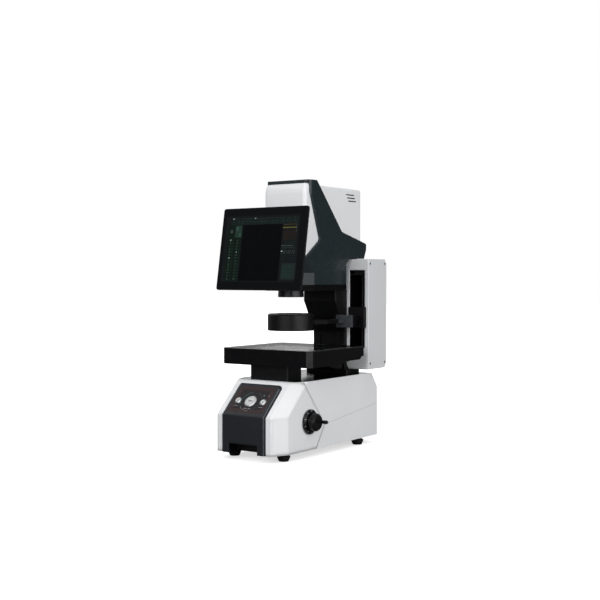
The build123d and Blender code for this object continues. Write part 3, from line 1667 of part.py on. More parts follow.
def pivot_point():
    """Centre of the monitor's tilt axis in (Y, Z)."""
    lean = math.radians(screen_lean)
    up = Vector(math.sin(lean), math.cos(lean)) * pivot_above_centre
    back = Vector(math.cos(lean), -math.sin(lean)) * pivot_behind_glass
    return (screen_center_y + up.X + back.X, screen_center_z + up.Y + back.Y)


def monitor_bracket():
    """Fork on the head's front cover: back plate with two ears."""
    y, z = pivot_point()
    wall_y = front_cover_y
    half = bracket_half_width
    plate = slab(-half, half, wall_y - bracket_plate, wall_y, z - bracket_below, z + bracket_above)
    plate = fillet(plate.edges().filter_by(Axis.Y), 5)
    x0 = hinge_block_width / 2 + bracket_ear_gap
    ear = [
        (y - 11, z - 7, 5),
        (y - 9, z + 11, 5),
        (wall_y - 1, z + bracket_above - 14),
        (wall_y - 1, z - bracket_below + 2),
        (y + 8, z - 13, 5),
    ]
    ears = side_prism(ear, x0, x0 + bracket_ear) + side_prism(ear, -x0 - bracket_ear, -x0)
    return plate + ears - rod_x(-half * 2, half * 2, y, z, pivot_radius)


def monitor_pin():
    """Tilt pin with a domed head on each end."""
    y, z = pivot_point()
    x1 = hinge_block_width / 2 + bracket_ear_gap + bracket_ear
    pin = rod_x(-x1 - 1, x1 + 1, y, z, pivot_radius)
    r, length = pin_head_radius, pin_head_length
    head = turned([(0, 0), (r, 0), (r, length - 2), (r - 2, length), (0, length)])
    right = Pos(x1, y, z) * Rot(0, 90, 0) * head
    left = Pos(-x1, y, z) * Rot(0, -90, 0) * head
    return pin + right + left


def inlet_block(fit, depth, out):
    """Block of the power inlet's body through the rear cover."""
    x, z = inlet_half_width - fit, inlet_half_height - fit
    return slab(inlet_x - x, inlet_x + x, base_depth - depth, base_depth + out, inlet_z - z, inlet_z + z)


def power_inlet():
    """Mains inlet module: flange, socket well with three pins, pocket for the rocker."""
    y = base_depth
    x, z = inlet_half_width + inlet_flange, inlet_half_height + inlet_flange * 2
    flange = slab(inlet_x - x, inlet_x + x, y, y + inlet_flange_thickness, inlet_z - z, inlet_z + z)
    flange = fillet(flange.edges().filter_by(Axis.Y), 4)
    module = flange + inlet_block(inlet_fit, inlet_depth, 1)
    module = module - slab(inlet_x - 11.5, inlet_x + 11.5, y - 18, y + 5, inlet_z - 20, inlet_z - 1)
    half, mid = rocker_size / 2, inlet_z + rocker_offset
    module = module - slab(inlet_x - half, inlet_x + half, y - 14, y + 5, mid - half, mid + half)
    pivot_y, pivot_z = rocker_center()
    reach = half + 1.5
    pin_radius = rocker_pin_radius + shaft_clearance
    module = module - rod_x(inlet_x - reach, inlet_x + reach, pivot_y, pivot_z, pin_radius)
    low, high = inlet_z - inlet_pin_low, inlet_z - inlet_pin_high
    for x, z in ((inlet_x - inlet_pin_side, low), (inlet_x + inlet_pin_side, low), (inlet_x, high)):
        module = module + slab(x - 1, x + 1, y - 19, y - 2, z - 2, z + 2)
    return module


def rocker_center():
    """Pivot of the rocker switch in (Y, Z)."""
    return (base_depth + 1, inlet_z + rocker_offset)


def power_rocker():
    """Rocker switch with a shallow V face, resting in its off position."""
    y, z = rocker_center()
    half = rocker_size / 2 - rocker_gap
    corners = [
        (y - 8, z - 2),
        (y - 8, z + 2),
        (y - 1, z + half),
        (y + 3, z + half - 0.2),
        (y + 1.2, z),
        (y + 0.4, z - half + 0.2),
        (y - 1, z - half),
    ]
    pins = rod_x(inlet_x - half - 1.5, inlet_x + half + 1.5, y, z, rocker_pin_radius)
    return side_prism(corners, inlet_x - half, inlet_x + half) + pins


def power_supply():
    """Power supply in its slotted case, on the bottom plate."""
    x0, y0 = supply_right_x - supply_width, supply_rear_y - supply_length
    top = plate_top + supply_height
    case = slab(x0, supply_right_x, y0, supply_rear_y, plate_top, top)
    for row in range(6):
        x = x0 + supply_width / 7 * (row + 1)
        case = case - slab(x - 3, x + 3, y0 + 15, supply_rear_y - 15, top - 3, top + 1)
    return case


def control_board():
    """Control board on posts with its main chip, connectors and capacitor block."""
    z0 = plate_top + board_post
    z1 = z0 + board_thickness
    half = board_half_width
    board = slab(-half, half, board_front_y, board_rear_y, z0, z1)
    for x in (-half + 8, half - 8):
        for y in (board_front_y + 8, board_rear_y - 8):
            board = board + rod(x, y, plate_top, z0 + 1, 4)
    board = board + slab(-30, 10, board_front_y + 40, board_front_y + 80, z1 - 1, z1 + 3)
    board = board + slab(40, 70, board_front_y + 30, board_front_y + 50, z1 - 1, z1 + 7)
    return board + slab(-80, -40, board_rear_y - 18, board_rear_y - 4, z1 - 1, z1 + 10)


cover_shell = base_cover_shell()
left_button, start_button, right_button = [push_button(x, radius) for x, radius in button_places()]
rail_start, rail_end = plate_front_y + rail_end_margin, plate_rear_y - rail_end_margin
cross_end = plate_half_width - running_margin
depth_rails = rails("y", [-depth_rail_x, depth_rail_x], rail_start, rail_end, base_plate_top)
width_rails = rails("x", [width_rail_front_y, width_rail_rear_y], -cross_end, cross_end, saddle_top)

nodes = {
    "base_front_cover": base_front_cover(cover_shell),
    "base_rear_cover": base_rear_cover(cover_shell),
    "base_lower_cover": base_lower_cover(cover_shell),
    "front_fascia": fascia(),
    "control_membrane": control_membrane(),
    "button_bezels": button_bezels(),
    "left_button": left_button,
    "start_button": start_button,
    "right_button": right_button,
    "bottom_plate": bottom_plate(),
    "levelling_feet": levelling_feet(),
    "machine_bed": machine_bed(),
    "power_supply": power_supply(),
    "control_board": control_board(),
    "power_inlet": power_inlet(),
    "power_rocker": power_rocker(),
    "drive_bearings": drive_bearings(),
    "handwheel": handwheel(),
    "handwheel_shaft": handwheel_shaft(),
    "crank_grip": crank_grip(),
    "lift_screw": lift_screw(),
    "lift_housing": lift_housing(),
    "lift_sleeve": lift_sleeve(),
    "stage_knee": stage_knee(),
    "stage_base_plate": stage_base_plate(),
    "depth_rails": depth_rails,
    "stage_saddle": stage_saddle(),
    "width_rails": width_rails + width_screw_bearing(),
    "depth_motor": depth_motor(),
    "depth_screw": depth_screw(),
    "width_motor": width_motor(),
    "width_screw": width_screw(),
    "stage_frame": stage_frame(),
    "stage_glass": stage_glass(),
    "back_light": back_light(),
    "column_foot": column_foot(),
    "column": column(),
    "linear_rails": column_rails() + ring_rail(),
    "cap_screws": cap_screws(),
    "head_plate": head_plate(),
    "head_spine": head_spine(),
    "head_shell": head_shell(),
    "head_front_cover": head_front_cover(),
    "head_rear_cover": head_rear_cover(),
    "lens_barrel": lens_barrel(),
    "lens_front_glass": lens_front_glass(),
    "camera": camera(),
    "box_cover": box_cover(),
    "box_side_plate": box_side_plate(),
    "ring_motor": ring_motor(),
    "ring_screw": ring_screw(),
    "ring_carriage": ring_carriage(),
    "ring_clamp_block": ring_clamp_block(),
    "ring_arm": ring_arm(),
    "ring_light": ring_light(),
    "ring_diffuser": ring_diffuser(),
    "monitor_glass": monitor_glass(),
    "monitor_housing": monitor_housing(),
    "monitor_bracket": monitor_bracket(),
    "monitor_pin": monitor_pin(),
}

handwheel_tip = base_half_width + dial_gap + dial_thickness + knob_length + crank_length
frame_x = (handwheel_tip - stage_half_width) / 2
frame_y = (box_rear_y - fascia_raise) / 2

for name, shape in nodes.items():
    export_step(Pos(-frame_x, -frame_y, 0) * shape, f"parts/{name}.step")
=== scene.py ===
import math

import bmesh
import bpy
from mathutils import Matrix, Vector


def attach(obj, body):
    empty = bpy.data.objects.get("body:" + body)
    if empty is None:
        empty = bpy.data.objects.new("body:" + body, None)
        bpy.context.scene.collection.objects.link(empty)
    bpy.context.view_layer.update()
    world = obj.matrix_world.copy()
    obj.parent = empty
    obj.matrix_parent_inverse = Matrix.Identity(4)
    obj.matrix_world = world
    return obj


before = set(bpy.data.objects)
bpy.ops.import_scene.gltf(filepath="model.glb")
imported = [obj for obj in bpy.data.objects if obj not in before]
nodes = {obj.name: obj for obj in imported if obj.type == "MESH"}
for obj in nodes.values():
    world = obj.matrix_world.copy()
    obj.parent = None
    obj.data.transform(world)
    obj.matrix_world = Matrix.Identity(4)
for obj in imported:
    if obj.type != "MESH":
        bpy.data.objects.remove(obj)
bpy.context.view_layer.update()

# Places are machine millimetres, as in the CAD source. ORIGIN is the machine point at the scene's zero.
ORIGIN = Vector((4.75, 275.5, 0.0))
MM_PER_M = 1000


def at(x, y, z):
    """Machine millimetres to scene metres."""
    return (Vector((x, y, z)) - ORIGIN) / MM_PER_M


# Pieces


def add(name, mesh, body):
    """Named piece that rides on a body."""
    piece = bpy.data.objects.new(name, mesh)
    bpy.context.scene.collection.objects.link(piece)
    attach(piece, body)


def keep(name, bm, finishes, body):
    """Piece from a finished bmesh."""
    mesh = bpy.data.meshes.new(name)
    bm.to_mesh(mesh)
    bm.free()
    for finish in finishes:
        mesh.materials.append(finish)
    add(name, mesh, body)


def keep_solid(name, bm, finishes, body):
    """Piece whose faces are first turned outwards."""
    bmesh.ops.recalc_face_normals(bm, faces=bm.faces)
    keep(name, bm, finishes, body)


def keep_skin(name, bm, thickness, finish, body):
    """Piece from an open skin whose faces get a thickness in millimetres."""
    bmesh.ops.recalc_face_normals(bm, faces=bm.faces)
    bmesh.ops.solidify(bm, geom=bm.faces[:], thickness=thickness / MM_PER_M)
    keep(name, bm, [finish], body)


def keep_doubled(name, bm, finish, body):
    """Piece from flat faces that are doubled, with no thickness between them."""
    bmesh.ops.solidify(bm, geom=bm.faces[:], thickness=0)
    keep(name, bm, [finish], body)


def placed(axes, point):
    """Matrix with three axes at a machine point."""
    place = Matrix(axes).transposed().to_4x4()
    place.translation = at(*point)
    return place


def facing(point, normal):
    """Matrix that puts local Z along a normal at a machine point."""
    n = Vector(normal).normalized()
    upright = abs(n.z) > 0.9
    hint = Vector((1, 0, 0) if upright else (0, 0, 1))
    x = (hint - n * hint.dot(n)).normalized()
    return placed((x, n.cross(x), n), point)


def lathe(name, profile, place, finish, body, steps):
    """Turned piece from an (r, z) profile in millimetres, put at a place matrix in scene metres."""
    bm = bmesh.new()
    rows = []
    for r, z in profile:
        if r:
            turns = [2 * math.pi * i / steps for i in range(steps)]
        else:
            turns = [0.0]
        corners = [(r * math.cos(t) / MM_PER_M, r * math.sin(t) / MM_PER_M, z / MM_PER_M) for t in turns]
        rows.append([bm.verts.new(place @ Vector(corner)) for corner in corners])
    for low, high in zip(rows, rows[1:]):
        for i in range(steps):
            j = (i + 1) % steps
            quad = [low[i % len(low)], low[j % len(low)], high[j % len(high)], high[i % len(high)]]
            corners = list(dict.fromkeys(quad))
            if len(corners) > 2:
                bm.faces.new(corners)
    keep_solid(name, bm, [finish], body)


# Flat shapes, for print and for the picture on the monitor

# A corner's radius stays just under half of a side, and a frame's inner corners keep a small radius
DISC_STEPS, RING_STEPS = 32, 64
CORNER_STEPS = 5
CORNER_LIMIT = 0.999
FRAME_MARGIN = 1.01


def arc(a, b, radius, start, end, steps):
    """Points on an arc between two angles in degrees."""
    turns = [math.radians(start + (end - start) * i / steps) for i in range(steps + 1)]
    return [(a + radius * math.cos(t), b + radius * math.sin(t)) for t in turns]


def circle(a, b, radius, steps):
    return arc(a, b, radius, 0, 360, steps)[:-1]


def rounded(a, b, w, h, r):
    """Outline of a rectangle round (a, b) with a corner radius."""
    if r <= 0:
        return [(a + i * w / 2, b + j * h / 2) for i, j in ((-1, -1), (1, -1), (1, 1), (-1, 1))]
    r = min(r, w / 2 * CORNER_LIMIT, h / 2 * CORNER_LIMIT)
    points = []
    for sx, sy, start in ((1, -1, -90), (1, 1, 0), (-1, 1, 90), (-1, -1, 180)):
        points += arc(a + sx * (w / 2 - r), b + sy * (h / 2 - r), r, start, start + 90, CORNER_STEPS)
    return points


def sides(loop):
    """Pairs of neighbouring corners all the way round."""
    return zip(loop, loop[1:] + loop[:1])


class Sheet:
    """Plane on the machine, level from left to right, for thin flat shapes.

    Sizes are in millimetres. A layer is the lift of a shape above the plane and its thickness.
    """

    def __init__(self, origin, normal, layer):
        self.origin = Vector(origin)
        self.x = Vector((1, 0, 0))
        self.n = Vector(normal).normalized()
        self.y = self.n.cross(self.x).normalized()
        self.layer = layer
        self.mesh = bmesh.new()
        self.tones = []

    def index(self, tone):
        if tone not in self.tones:
            self.tones.append(tone)
        return self.tones.index(tone)

    def corners(self, outline, height):
        places = [self.origin + self.x * a + self.y * b + self.n * height for a, b in outline]
        return [self.mesh.verts.new(at(*place)) for place in places]

    def shape(self, outline, tone, layer=None, hole=None):
        """Thin plate with an outline of (a, b) points, or a ring when a hole outline is given."""
        lift, thick = layer or self.layer
        index = self.index(tone)
        bottom, top = self.corners(outline, lift), self.corners(outline, lift + thick)
        quads = [[a, b, d, c] for (a, b), (c, d) in zip(sides(bottom), sides(top))]
        if hole:
            low, high = self.corners(hole, lift), self.corners(hole, lift + thick)
            quads += [[c, d, b, a] for (a, b), (c, d) in zip(sides(low), sides(high))]
            quads += [[a, b, d, c] for (a, b), (c, d) in zip(sides(top), sides(high))]
        else:
            quads.append(top)
        for quad in quads:
            self.mesh.faces.new(quad).material_index = index

    def rect(self, a, b, w, h, tone, r=0.0, layer=None):
        self.shape(rounded(a, b, w, h, r), tone, layer)

    def border(self, a, b, w, h, line, tone, r, layer=None):
        """Frame just inside a rectangle, with the width of a line."""
        r = max(r, line * FRAME_MARGIN)
        inner = rounded(a, b, w - 2 * line, h - 2 * line, r - line)
        self.shape(rounded(a, b, w, h, r), tone, layer, inner)

    def disc(self, a, b, radius, tone, steps=DISC_STEPS):
        self.shape(circle(a, b, radius, steps), tone)

    def ring(self, a, b, inner, outer, tone, steps=RING_STEPS):
        self.shape(circle(a, b, outer, steps), tone, hole=circle(a, b, inner, steps))

    def bow(self, a, b, inner, outer, tone, start, end):
        """Part of a ring between two angles in degrees."""
        there, back = arc(a, b, outer, start, end, RING_STEPS), arc(a, b, inner, end, start, RING_STEPS)
        self.shape(there + back, tone)

    def piece(self, name, body, slot):
        keep_solid(name, self.mesh, self.tones, body)


# Node trees

# Most of the noise lies between these values
NOISE_LOW, NOISE_HIGH = 0.3, 0.7


class Tree:
    """Node tree of a material or the world, with short calls for the nodes used here."""

    def __init__(self, owner):
        owner.use_nodes = True
        self.nodes = owner.node_tree.nodes
        self.links = owner.node_tree.links
        self.coords = self.nodes.new("ShaderNodeTexCoord")

    def feed(self, value, socket):
        """Link an output to a socket, or set a plain value on it."""
        if isinstance(value, bpy.types.NodeSocket):
            self.links.new(value, socket)
        else:
            socket.default_value = value

    def calculate(self, operation, a, b):
        """Math on two outputs, or on an output and a number."""
        node = self.nodes.new("ShaderNodeMath")
        node.operation = operation
        self.feed(a, node.inputs[0])
        self.feed(b, node.inputs[1])
        return node.outputs["Value"]

    def vector_math(self, operation, a, b=None):
        """Vector math node on an output and, where it takes two, a plain vector."""
        node = self.nodes.new("ShaderNodeVectorMath")
        node.operation = operation
        self.feed(a, node.inputs[0])
        if b is not None:
            self.feed(b, node.inputs[1])
        return node

    def ramp(self, value, start, end, low, high, curve="SMOOTHSTEP"):
        """Value that goes from low to high while the input goes from start to end."""
        node = self.nodes.new("ShaderNodeMapRange")
        node.interpolation_type = curve
        for name, number in (("From Min", start), ("From Max", end), ("To Min", low), ("To Max", high)):
            node.inputs[name].default_value = number
        self.links.new(value, node.inputs["Value"])
        return node.outputs["Result"]

    def noise(self, scale, detail, stretch=None):
        source = self.coords.outputs["Object"]
        if stretch:
            mapping = self.nodes.new("ShaderNodeMapping")
            mapping.inputs["Scale"].default_value = stretch
            self.links.new(source, mapping.inputs["Vector"])
            source = mapping.outputs["Vector"]
        node = self.nodes.new("ShaderNodeTexNoise")
        node.inputs["Scale"].default_value = scale
        node.inputs["Detail"].default_value = detail
        self.links.new(source, node.inputs["Vector"])
        return node.outputs["Fac"]

    def drift(self, scale, detail, low, high):
        """Noise spread out between low and high."""
        return self.ramp(self.noise(scale, detail), NOISE_LOW, NOISE_HIGH, low, high, "LINEAR")

    def mix(self, factor, a, b):
        """Colour between a and b, each an output or a plain colour."""
        node = self.nodes.new("ShaderNodeMix")
        node.data_type = "RGBA"
        self.feed(a, node.inputs["A"])
        self.feed(b, node.inputs["B"])
        self.links.new(factor, node.inputs["Factor"])
        return node.outputs["Result"]

    def inside(self, low, high):
        """1 within the box between two machine corners, and 0 outside it."""
        a, b = at(*low), at(*high)
        shift = self.vector_math("SUBTRACT", self.coords.outputs["Object"], (a + b) / 2)
        size = self.vector_math("ABSOLUTE", shift.outputs[0])
        parts = self.nodes.new("ShaderNodeSeparateXYZ")
        self.links.new(size.outputs[0], parts.inputs[0])
        x, y, z = [
            self.calculate("LESS_THAN", parts.outputs[axis], reach)
            for axis, reach in zip("XYZ", (b - a) / 2)
        ]
        return self.calculate("MULTIPLY", self.calculate("MULTIPLY", x, y), z)


# Materials

IOR = 1.5
COAT_ROUGH = 0.05
DRIFT_DETAIL = 2.0
ROUGH_SCALE, ROUGH_DETAIL = 60.0, 3.0
GRAIN_DETAIL, GRAIN_DEPTH = 2.0, 0.0002
EDGE_SAMPLES = 6


def material(name, color, rough, metallic=0.0, spec=0.5, coat=0.0, tint=0.05, tint_scale=9.0,
             grain=0.0, grain_scale=1400.0, rough_var=0.06, transmission=0.0, alpha=1.0,
             glow=None, glow_strength=0.0, brushed=None, boxes=(), box_tone=(0.002, 0.002, 0.002),
             soft=0.0):
    """Procedural material: slow colour drift, roughness drift and a fine surface grain.

    Within each of the boxes, given by two machine corners, the colour is the box tone. A soft radius
    in millimetres rounds the edges in the light only.
    """
    finish = bpy.data.materials.new(name)
    tree = Tree(finish)
    shader = tree.nodes["Principled BSDF"]
    uniform = (
        ("Metallic", metallic),
        ("Specular IOR Level", spec),
        ("IOR", IOR),
        ("Coat Weight", coat),
        ("Coat Roughness", COAT_ROUGH),
        ("Transmission Weight", transmission),
        ("Alpha", alpha),
    )
    for socket, value in uniform:
        shader.inputs[socket].default_value = value
    if glow:
        shader.inputs["Emission Color"].default_value = (*glow, 1)
        shader.inputs["Emission Strength"].default_value = glow_strength
    darker = [part * (1 - tint) for part in color]
    lighter = [min(1.0, part * (1 + tint)) for part in color]
    out = tree.mix(tree.drift(tint_scale, DRIFT_DETAIL, 0.0, 1.0), (*darker, 1), (*lighter, 1))
    # Each box lays its tone over the colour; the near-black default tone is painted shade inside hollows
    for low, high in boxes:
        out = tree.mix(tree.inside(low, high), out, (*box_tone, 1))
    tree.links.new(out, shader.inputs["Base Color"])
    smoothest, roughest = max(0.0, rough - rough_var), min(1.0, rough + rough_var)
    roughness = tree.drift(ROUGH_SCALE, ROUGH_DETAIL, smoothest, roughest)
    tree.links.new(roughness, shader.inputs["Roughness"])
    if grain:
        bump = tree.nodes.new("ShaderNodeBump")
        bump.inputs["Strength"].default_value = grain
        bump.inputs["Distance"].default_value = GRAIN_DEPTH
        tree.links.new(tree.noise(grain_scale, GRAIN_DETAIL, brushed), bump.inputs["Height"])
        tree.links.new(bump.outputs["Normal"], shader.inputs["Normal"])
        if soft:
            edge = tree.nodes.new("ShaderNodeBevel")
            edge.samples = EDGE_SAMPLES
            edge.inputs["Radius"].default_value = soft / MM_PER_M
            tree.links.new(edge.outputs["Normal"], bump.inputs["Normal"])
    return finish


def white_paint(name, soft=0.0, boxes=()):
    """Paint of the covers."""
    return material(name, (0.79, 0.80, 0.815), 0.42, spec=0.4, tint=0.012, grain=0.10, grain_scale=1500,
                    soft=soft, boxes=boxes)


# Painted shade: near-black inside the box, inside the head's rear cover and in the hand recess; and the end
# of the ring light's arm that is lighter than the rest
BOX_INSIDE_SHADE = ((57.5, 447.7, 235.5), (134.5, 554.5, 573.5))
REAR_INSIDE_SHADE = (
    ((-74.5, 414, 748), (74.5, 482, 784.5)),
    ((-40, 480, 690), (40, 505.5, 770)),
    ((-72.6, 255, 560), (72.6, 503.6, 790.6)),
)
HAND_RECESS_SHADE = ((-52, 1.5, 15), (52, 45, 50))
ARM_END = ((60, 345, 360), (120, 381, 410))

WHITE = white_paint("white_paint")
WHITE_SOFT = white_paint("white_paint_soft", 14.0)
# White paint with painted shade inside the box
WHITE_BOX_PAINTED_SHADE = white_paint("white_paint_box_painted_shade", 5.0, [BOX_INSIDE_SHADE])
# White paint with painted shade inside the head's rear cover
WHITE_REAR_PAINTED_SHADE = white_paint("white_paint_rear_painted_shade", 4.0, REAR_INSIDE_SHADE)
PALE = material("pale_paint", (0.64, 0.655, 0.67), 0.48, spec=0.35, tint=0.015, grain=0.10, grain_scale=1500)
SLATE = material("slate_shell", (0.0170, 0.0250, 0.0280), 0.26, spec=0.28, tint=0.06, grain=0.03,
                 grain_scale=900, rough_var=0.03)
# Fascia plastic with painted shade in the hand recess
FASCIA = material("fascia_plastic_painted_shade", (0.0125, 0.0145, 0.0180), 0.34, spec=0.30, tint=0.06, grain=0.06,
                  grain_scale=1200, soft=8.0, boxes=[HAND_RECESS_SHADE])
FILM = material("control_film", (0.0105, 0.0080, 0.0088), 0.28, spec=0.18, tint=0.06, grain=0.06,
                grain_scale=2600)
RUBBER = material("rubber", (0.008, 0.008, 0.008), 0.75, spec=0.25, tint=0.15, grain=0.35, grain_scale=1200)
BLACK_GLOSS = material("black_anodised_gloss", (0.004, 0.004, 0.0045), 0.15, spec=0.25, tint=0.1,
                       rough_var=0.03, grain=0.01, grain_scale=2500)
BLACK_SATIN = material("black_satin", (0.0028, 0.0028, 0.0034), 0.36, spec=0.20, tint=0.1, grain=0.05,
                       grain_scale=1200)
BLACK_STAGE = material("black_stage", (0.0022, 0.0023, 0.0029), 0.20, spec=0.22, tint=0.1, grain=0.02,
                       grain_scale=1200)
BLACK_MATT = material("black_matt", (0.0022, 0.0022, 0.0028), 0.62, spec=0.08, tint=0.1, grain=0.1,
                      grain_scale=1000)
BLACK_CAST = material("black_cast", (0.0035, 0.0036, 0.0042), 0.50, spec=0.18, tint=0.12, grain=0.3,
                      grain_scale=500)
BLACK_LENS = material("lens_anodised", (0.005, 0.0048, 0.0095), 0.30, spec=0.30, tint=0.1, grain=0.05,
                      grain_scale=2400)
MOTOR = material("motor_black", (0.012, 0.012, 0.013), 0.45, spec=0.3, tint=0.1, grain=0.25, grain_scale=900)
STEEL = material("ground_steel", (0.55, 0.56, 0.58), 0.28, metallic=1.0, grain=0.2, grain_scale=500,
                 brushed=(1, 1, 14))
STEEL_DARK = material("dark_steel", (0.10, 0.10, 0.11), 0.35, metallic=1.0, tint=0.08, grain=0.2,
                      grain_scale=900)
METAL_CAP = material("turned_metal", (0.72, 0.74, 0.735), 0.48, metallic=1.0, tint=0.04, grain=0.15,
                     grain_scale=1200)
CAP_RIM = material("cap_rim", (0.30, 0.32, 0.34), 0.22, metallic=1.0, tint=0.04, grain=0.05, grain_scale=1200)
ARM = material("arm_anodised", (0.0022, 0.0022, 0.0028), 0.55, spec=0.10, tint=0.1, grain=0.1,
               grain_scale=1000, boxes=[ARM_END], box_tone=(0.034, 0.038, 0.044))
CLAMP = material("clamp_anodised", (0.060, 0.067, 0.076), 0.42, metallic=0.2, spec=0.3, tint=0.06, grain=0.2,
                 grain_scale=1300)
BLACK_OXIDE = material("black_oxide", (0.012, 0.012, 0.014), 0.35, metallic=0.6, spec=0.3, tint=0.1,
                       grain=0.2, grain_scale=900)
BARE = material("bare_sheet", (0.5, 0.51, 0.52), 0.4, metallic=0.9, tint=0.06, grain=0.2, grain_scale=500,
                brushed=(1, 12, 1))
GLASS = material("plate_glass", (0.86, 0.94, 0.92), 0.015, tint=0.01, rough_var=0.008, transmission=1.0,
                 alpha=0.32)
LENS_GLASS = material("coated_glass", (0.16, 0.12, 0.32), 0.03, spec=0.9, tint=0.08, rough_var=0.01, coat=0.6)
LIGHT_PANEL = material("light_panel", (0.32, 0.305, 0.28), 0.45, spec=0.3, tint=0.03, grain=0.05,
                       glow=(1.0, 0.95, 0.82), glow_strength=0.02)
DIFFUSER = material("diffuser", (0.85, 0.86, 0.88), 0.5, spec=0.4, tint=0.02, grain=0.1)
SCREEN = material("screen_glass", (0.0036, 0.0042, 0.0052), 0.12, spec=0.12, tint=0.06, rough_var=0.03)
MONITOR = material("monitor_plastic", (0.004, 0.0042, 0.005), 0.45, spec=0.3, tint=0.1, grain=0.35,
                   grain_scale=1500)
BOARD = material("board", (0.015, 0.11, 0.045), 0.45, spec=0.4, tint=0.2, tint_scale=120, grain=0.3,
                 grain_scale=700)
MARK_WHITE = material("mark_white", (0.62, 0.63, 0.64), 0.5, grain=0.1)
MARK_GREY = material("mark_grey", (0.20, 0.21, 0.22), 0.5, tint=0.08, grain=0.1)
MARK_RED = material("mark_red", (0.075, 0.02, 0.022), 0.45, tint=0.1, grain=0.1)
MARK_DARK = material("mark_dark", (0.02, 0.02, 0.022), 0.5, tint=0.1, grain=0.1)
TEAL = material("teal_light", (0.012, 0.052, 0.066), 0.4, tint=0.1, grain=0.05, glow=(0.05, 0.42, 0.52),
                glow_strength=0.05)
LED_BLUE = material("led_blue", (0.06, 0.10, 0.15), 0.3, grain=0.05, glow=(0.12, 0.35, 0.7),
                    glow_strength=0.05)
LED_RED = material("led_red", (0.13, 0.06, 0.09), 0.3, grain=0.05, glow=(0.8, 0.12, 0.2), glow_strength=0.03)
MAROON = material("film_maroon", (0.020, 0.0085, 0.0095), 0.28, spec=0.25, tint=0.10, grain=0.04,
                  grain_scale=2600)
# Painted highlight along the fascia's bevel
FASCIA_HIGHLIGHT = material("fascia_edge", (0.17, 0.19, 0.22), 0.32, metallic=0.4, grain=0.05, grain_scale=900)
# Painted shade and edge highlight of the seams, kept pale
SEAM_SHADE = material("seam_painted_shade", (0.42, 0.43, 0.44), 0.6, spec=0.2, tint=0.08, grain=0.1)
DARK_HOLE = material("dark_hole", (0.002, 0.002, 0.002), 0.8, spec=0.1, tint=0.1, grain=0.1)

nodes_by_finish = {
    WHITE: "base_rear_cover base_lower_cover head_front_cover",
    WHITE_SOFT: "base_front_cover",
    WHITE_REAR_PAINTED_SHADE: "head_rear_cover",
    WHITE_BOX_PAINTED_SHADE: "box_cover",
    PALE: "box_side_plate",
    SLATE: "head_shell",
    FASCIA: "front_fascia",
    FILM: "control_membrane",
    CAP_RIM: "button_bezels",
    METAL_CAP: "left_button start_button right_button",
    RUBBER: "levelling_feet",
    BLACK_GLOSS: "machine_bed",
    BLACK_SATIN: "bottom_plate power_inlet power_rocker lift_housing ring_carriage ring_light "
                 "monitor_bracket crank_grip handwheel",
    BLACK_CAST: "lift_sleeve stage_knee stage_base_plate stage_saddle column column_foot head_spine",
    BLACK_STAGE: "stage_frame",
    BLACK_MATT: "head_plate",
    ARM: "ring_arm",
    BLACK_LENS: "lens_barrel",
    MOTOR: "depth_motor width_motor ring_motor camera",
    STEEL: "handwheel_shaft lift_screw depth_rails width_rails depth_screw width_screw drive_bearings",
    STEEL_DARK: "cap_screws monitor_pin",
    BLACK_OXIDE: "linear_rails ring_screw",
    CLAMP: "ring_clamp_block",
    BARE: "power_supply",
    BOARD: "control_board",
    GLASS: "stage_glass",
    LENS_GLASS: "lens_front_glass",
    LIGHT_PANEL: "back_light",
    DIFFUSER: "ring_diffuser",
    SCREEN: "monitor_glass",
    MONITOR: "monitor_housing",
}
for finish, names in nodes_by_finish.items():
    for name in names.split():
        mesh = nodes[name].data
        mesh.materials.clear()
        mesh.materials.append(finish)

# Control panel on the sloped front

# The slope from its lower edge, and how high the fascia and the button caps stand above it
SLOPE_FOOT_Z = 128
SLOPE_DEPTH, SLOPE_HEIGHT = 96.0, 92.0
SLOPE_LENGTH = math.hypot(SLOPE_DEPTH, SLOPE_HEIGHT)
SLOPE_NORMAL = Vector((0, -SLOPE_HEIGHT, SLOPE_DEPTH)) / SLOPE_LENGTH
SLOPE_UP = Vector((0, SLOPE_DEPTH, SLOPE_HEIGHT)) / SLOPE_LENGTH
FASCIA_RISE = 5.0
CAP_RISE = 7.8
BUTTONS_UP, BUTTON_PITCH = 51, 44

# The control film, and the layers that its print and the signs on the caps lie in
FILM_MID = 57.5
FILM_WIDE, FILM_HIGH, FILM_BORDER = 120, 93, 9.5
LAMPS_UP = 75
WORD_HIGH, WORD_ROUND, WORD_GAP = 2.0, 0.6, 1.5
PRINT = (0.06, 0.06)
UNDER_PRINT = (0.02, 0.03)
CAP_PRINT = (0.0, 0.05)


def on_slope(x, up, rise):
    """Point at a distance up the slope and a rise above it."""
    return Vector((x, 0, SLOPE_FOOT_Z)) + SLOPE_NORMAL * rise + SLOPE_UP * up


def caption(panel, middle, up, widths):
    """Row of bars in the place of a button's words."""
    left = middle - (sum(widths) + WORD_GAP * (len(widths) - 1)) / 2
    for width in widths:
        panel.rect(left + width / 2, up, width, WORD_HIGH, MARK_GREY, WORD_ROUND)
        left += width + WORD_GAP


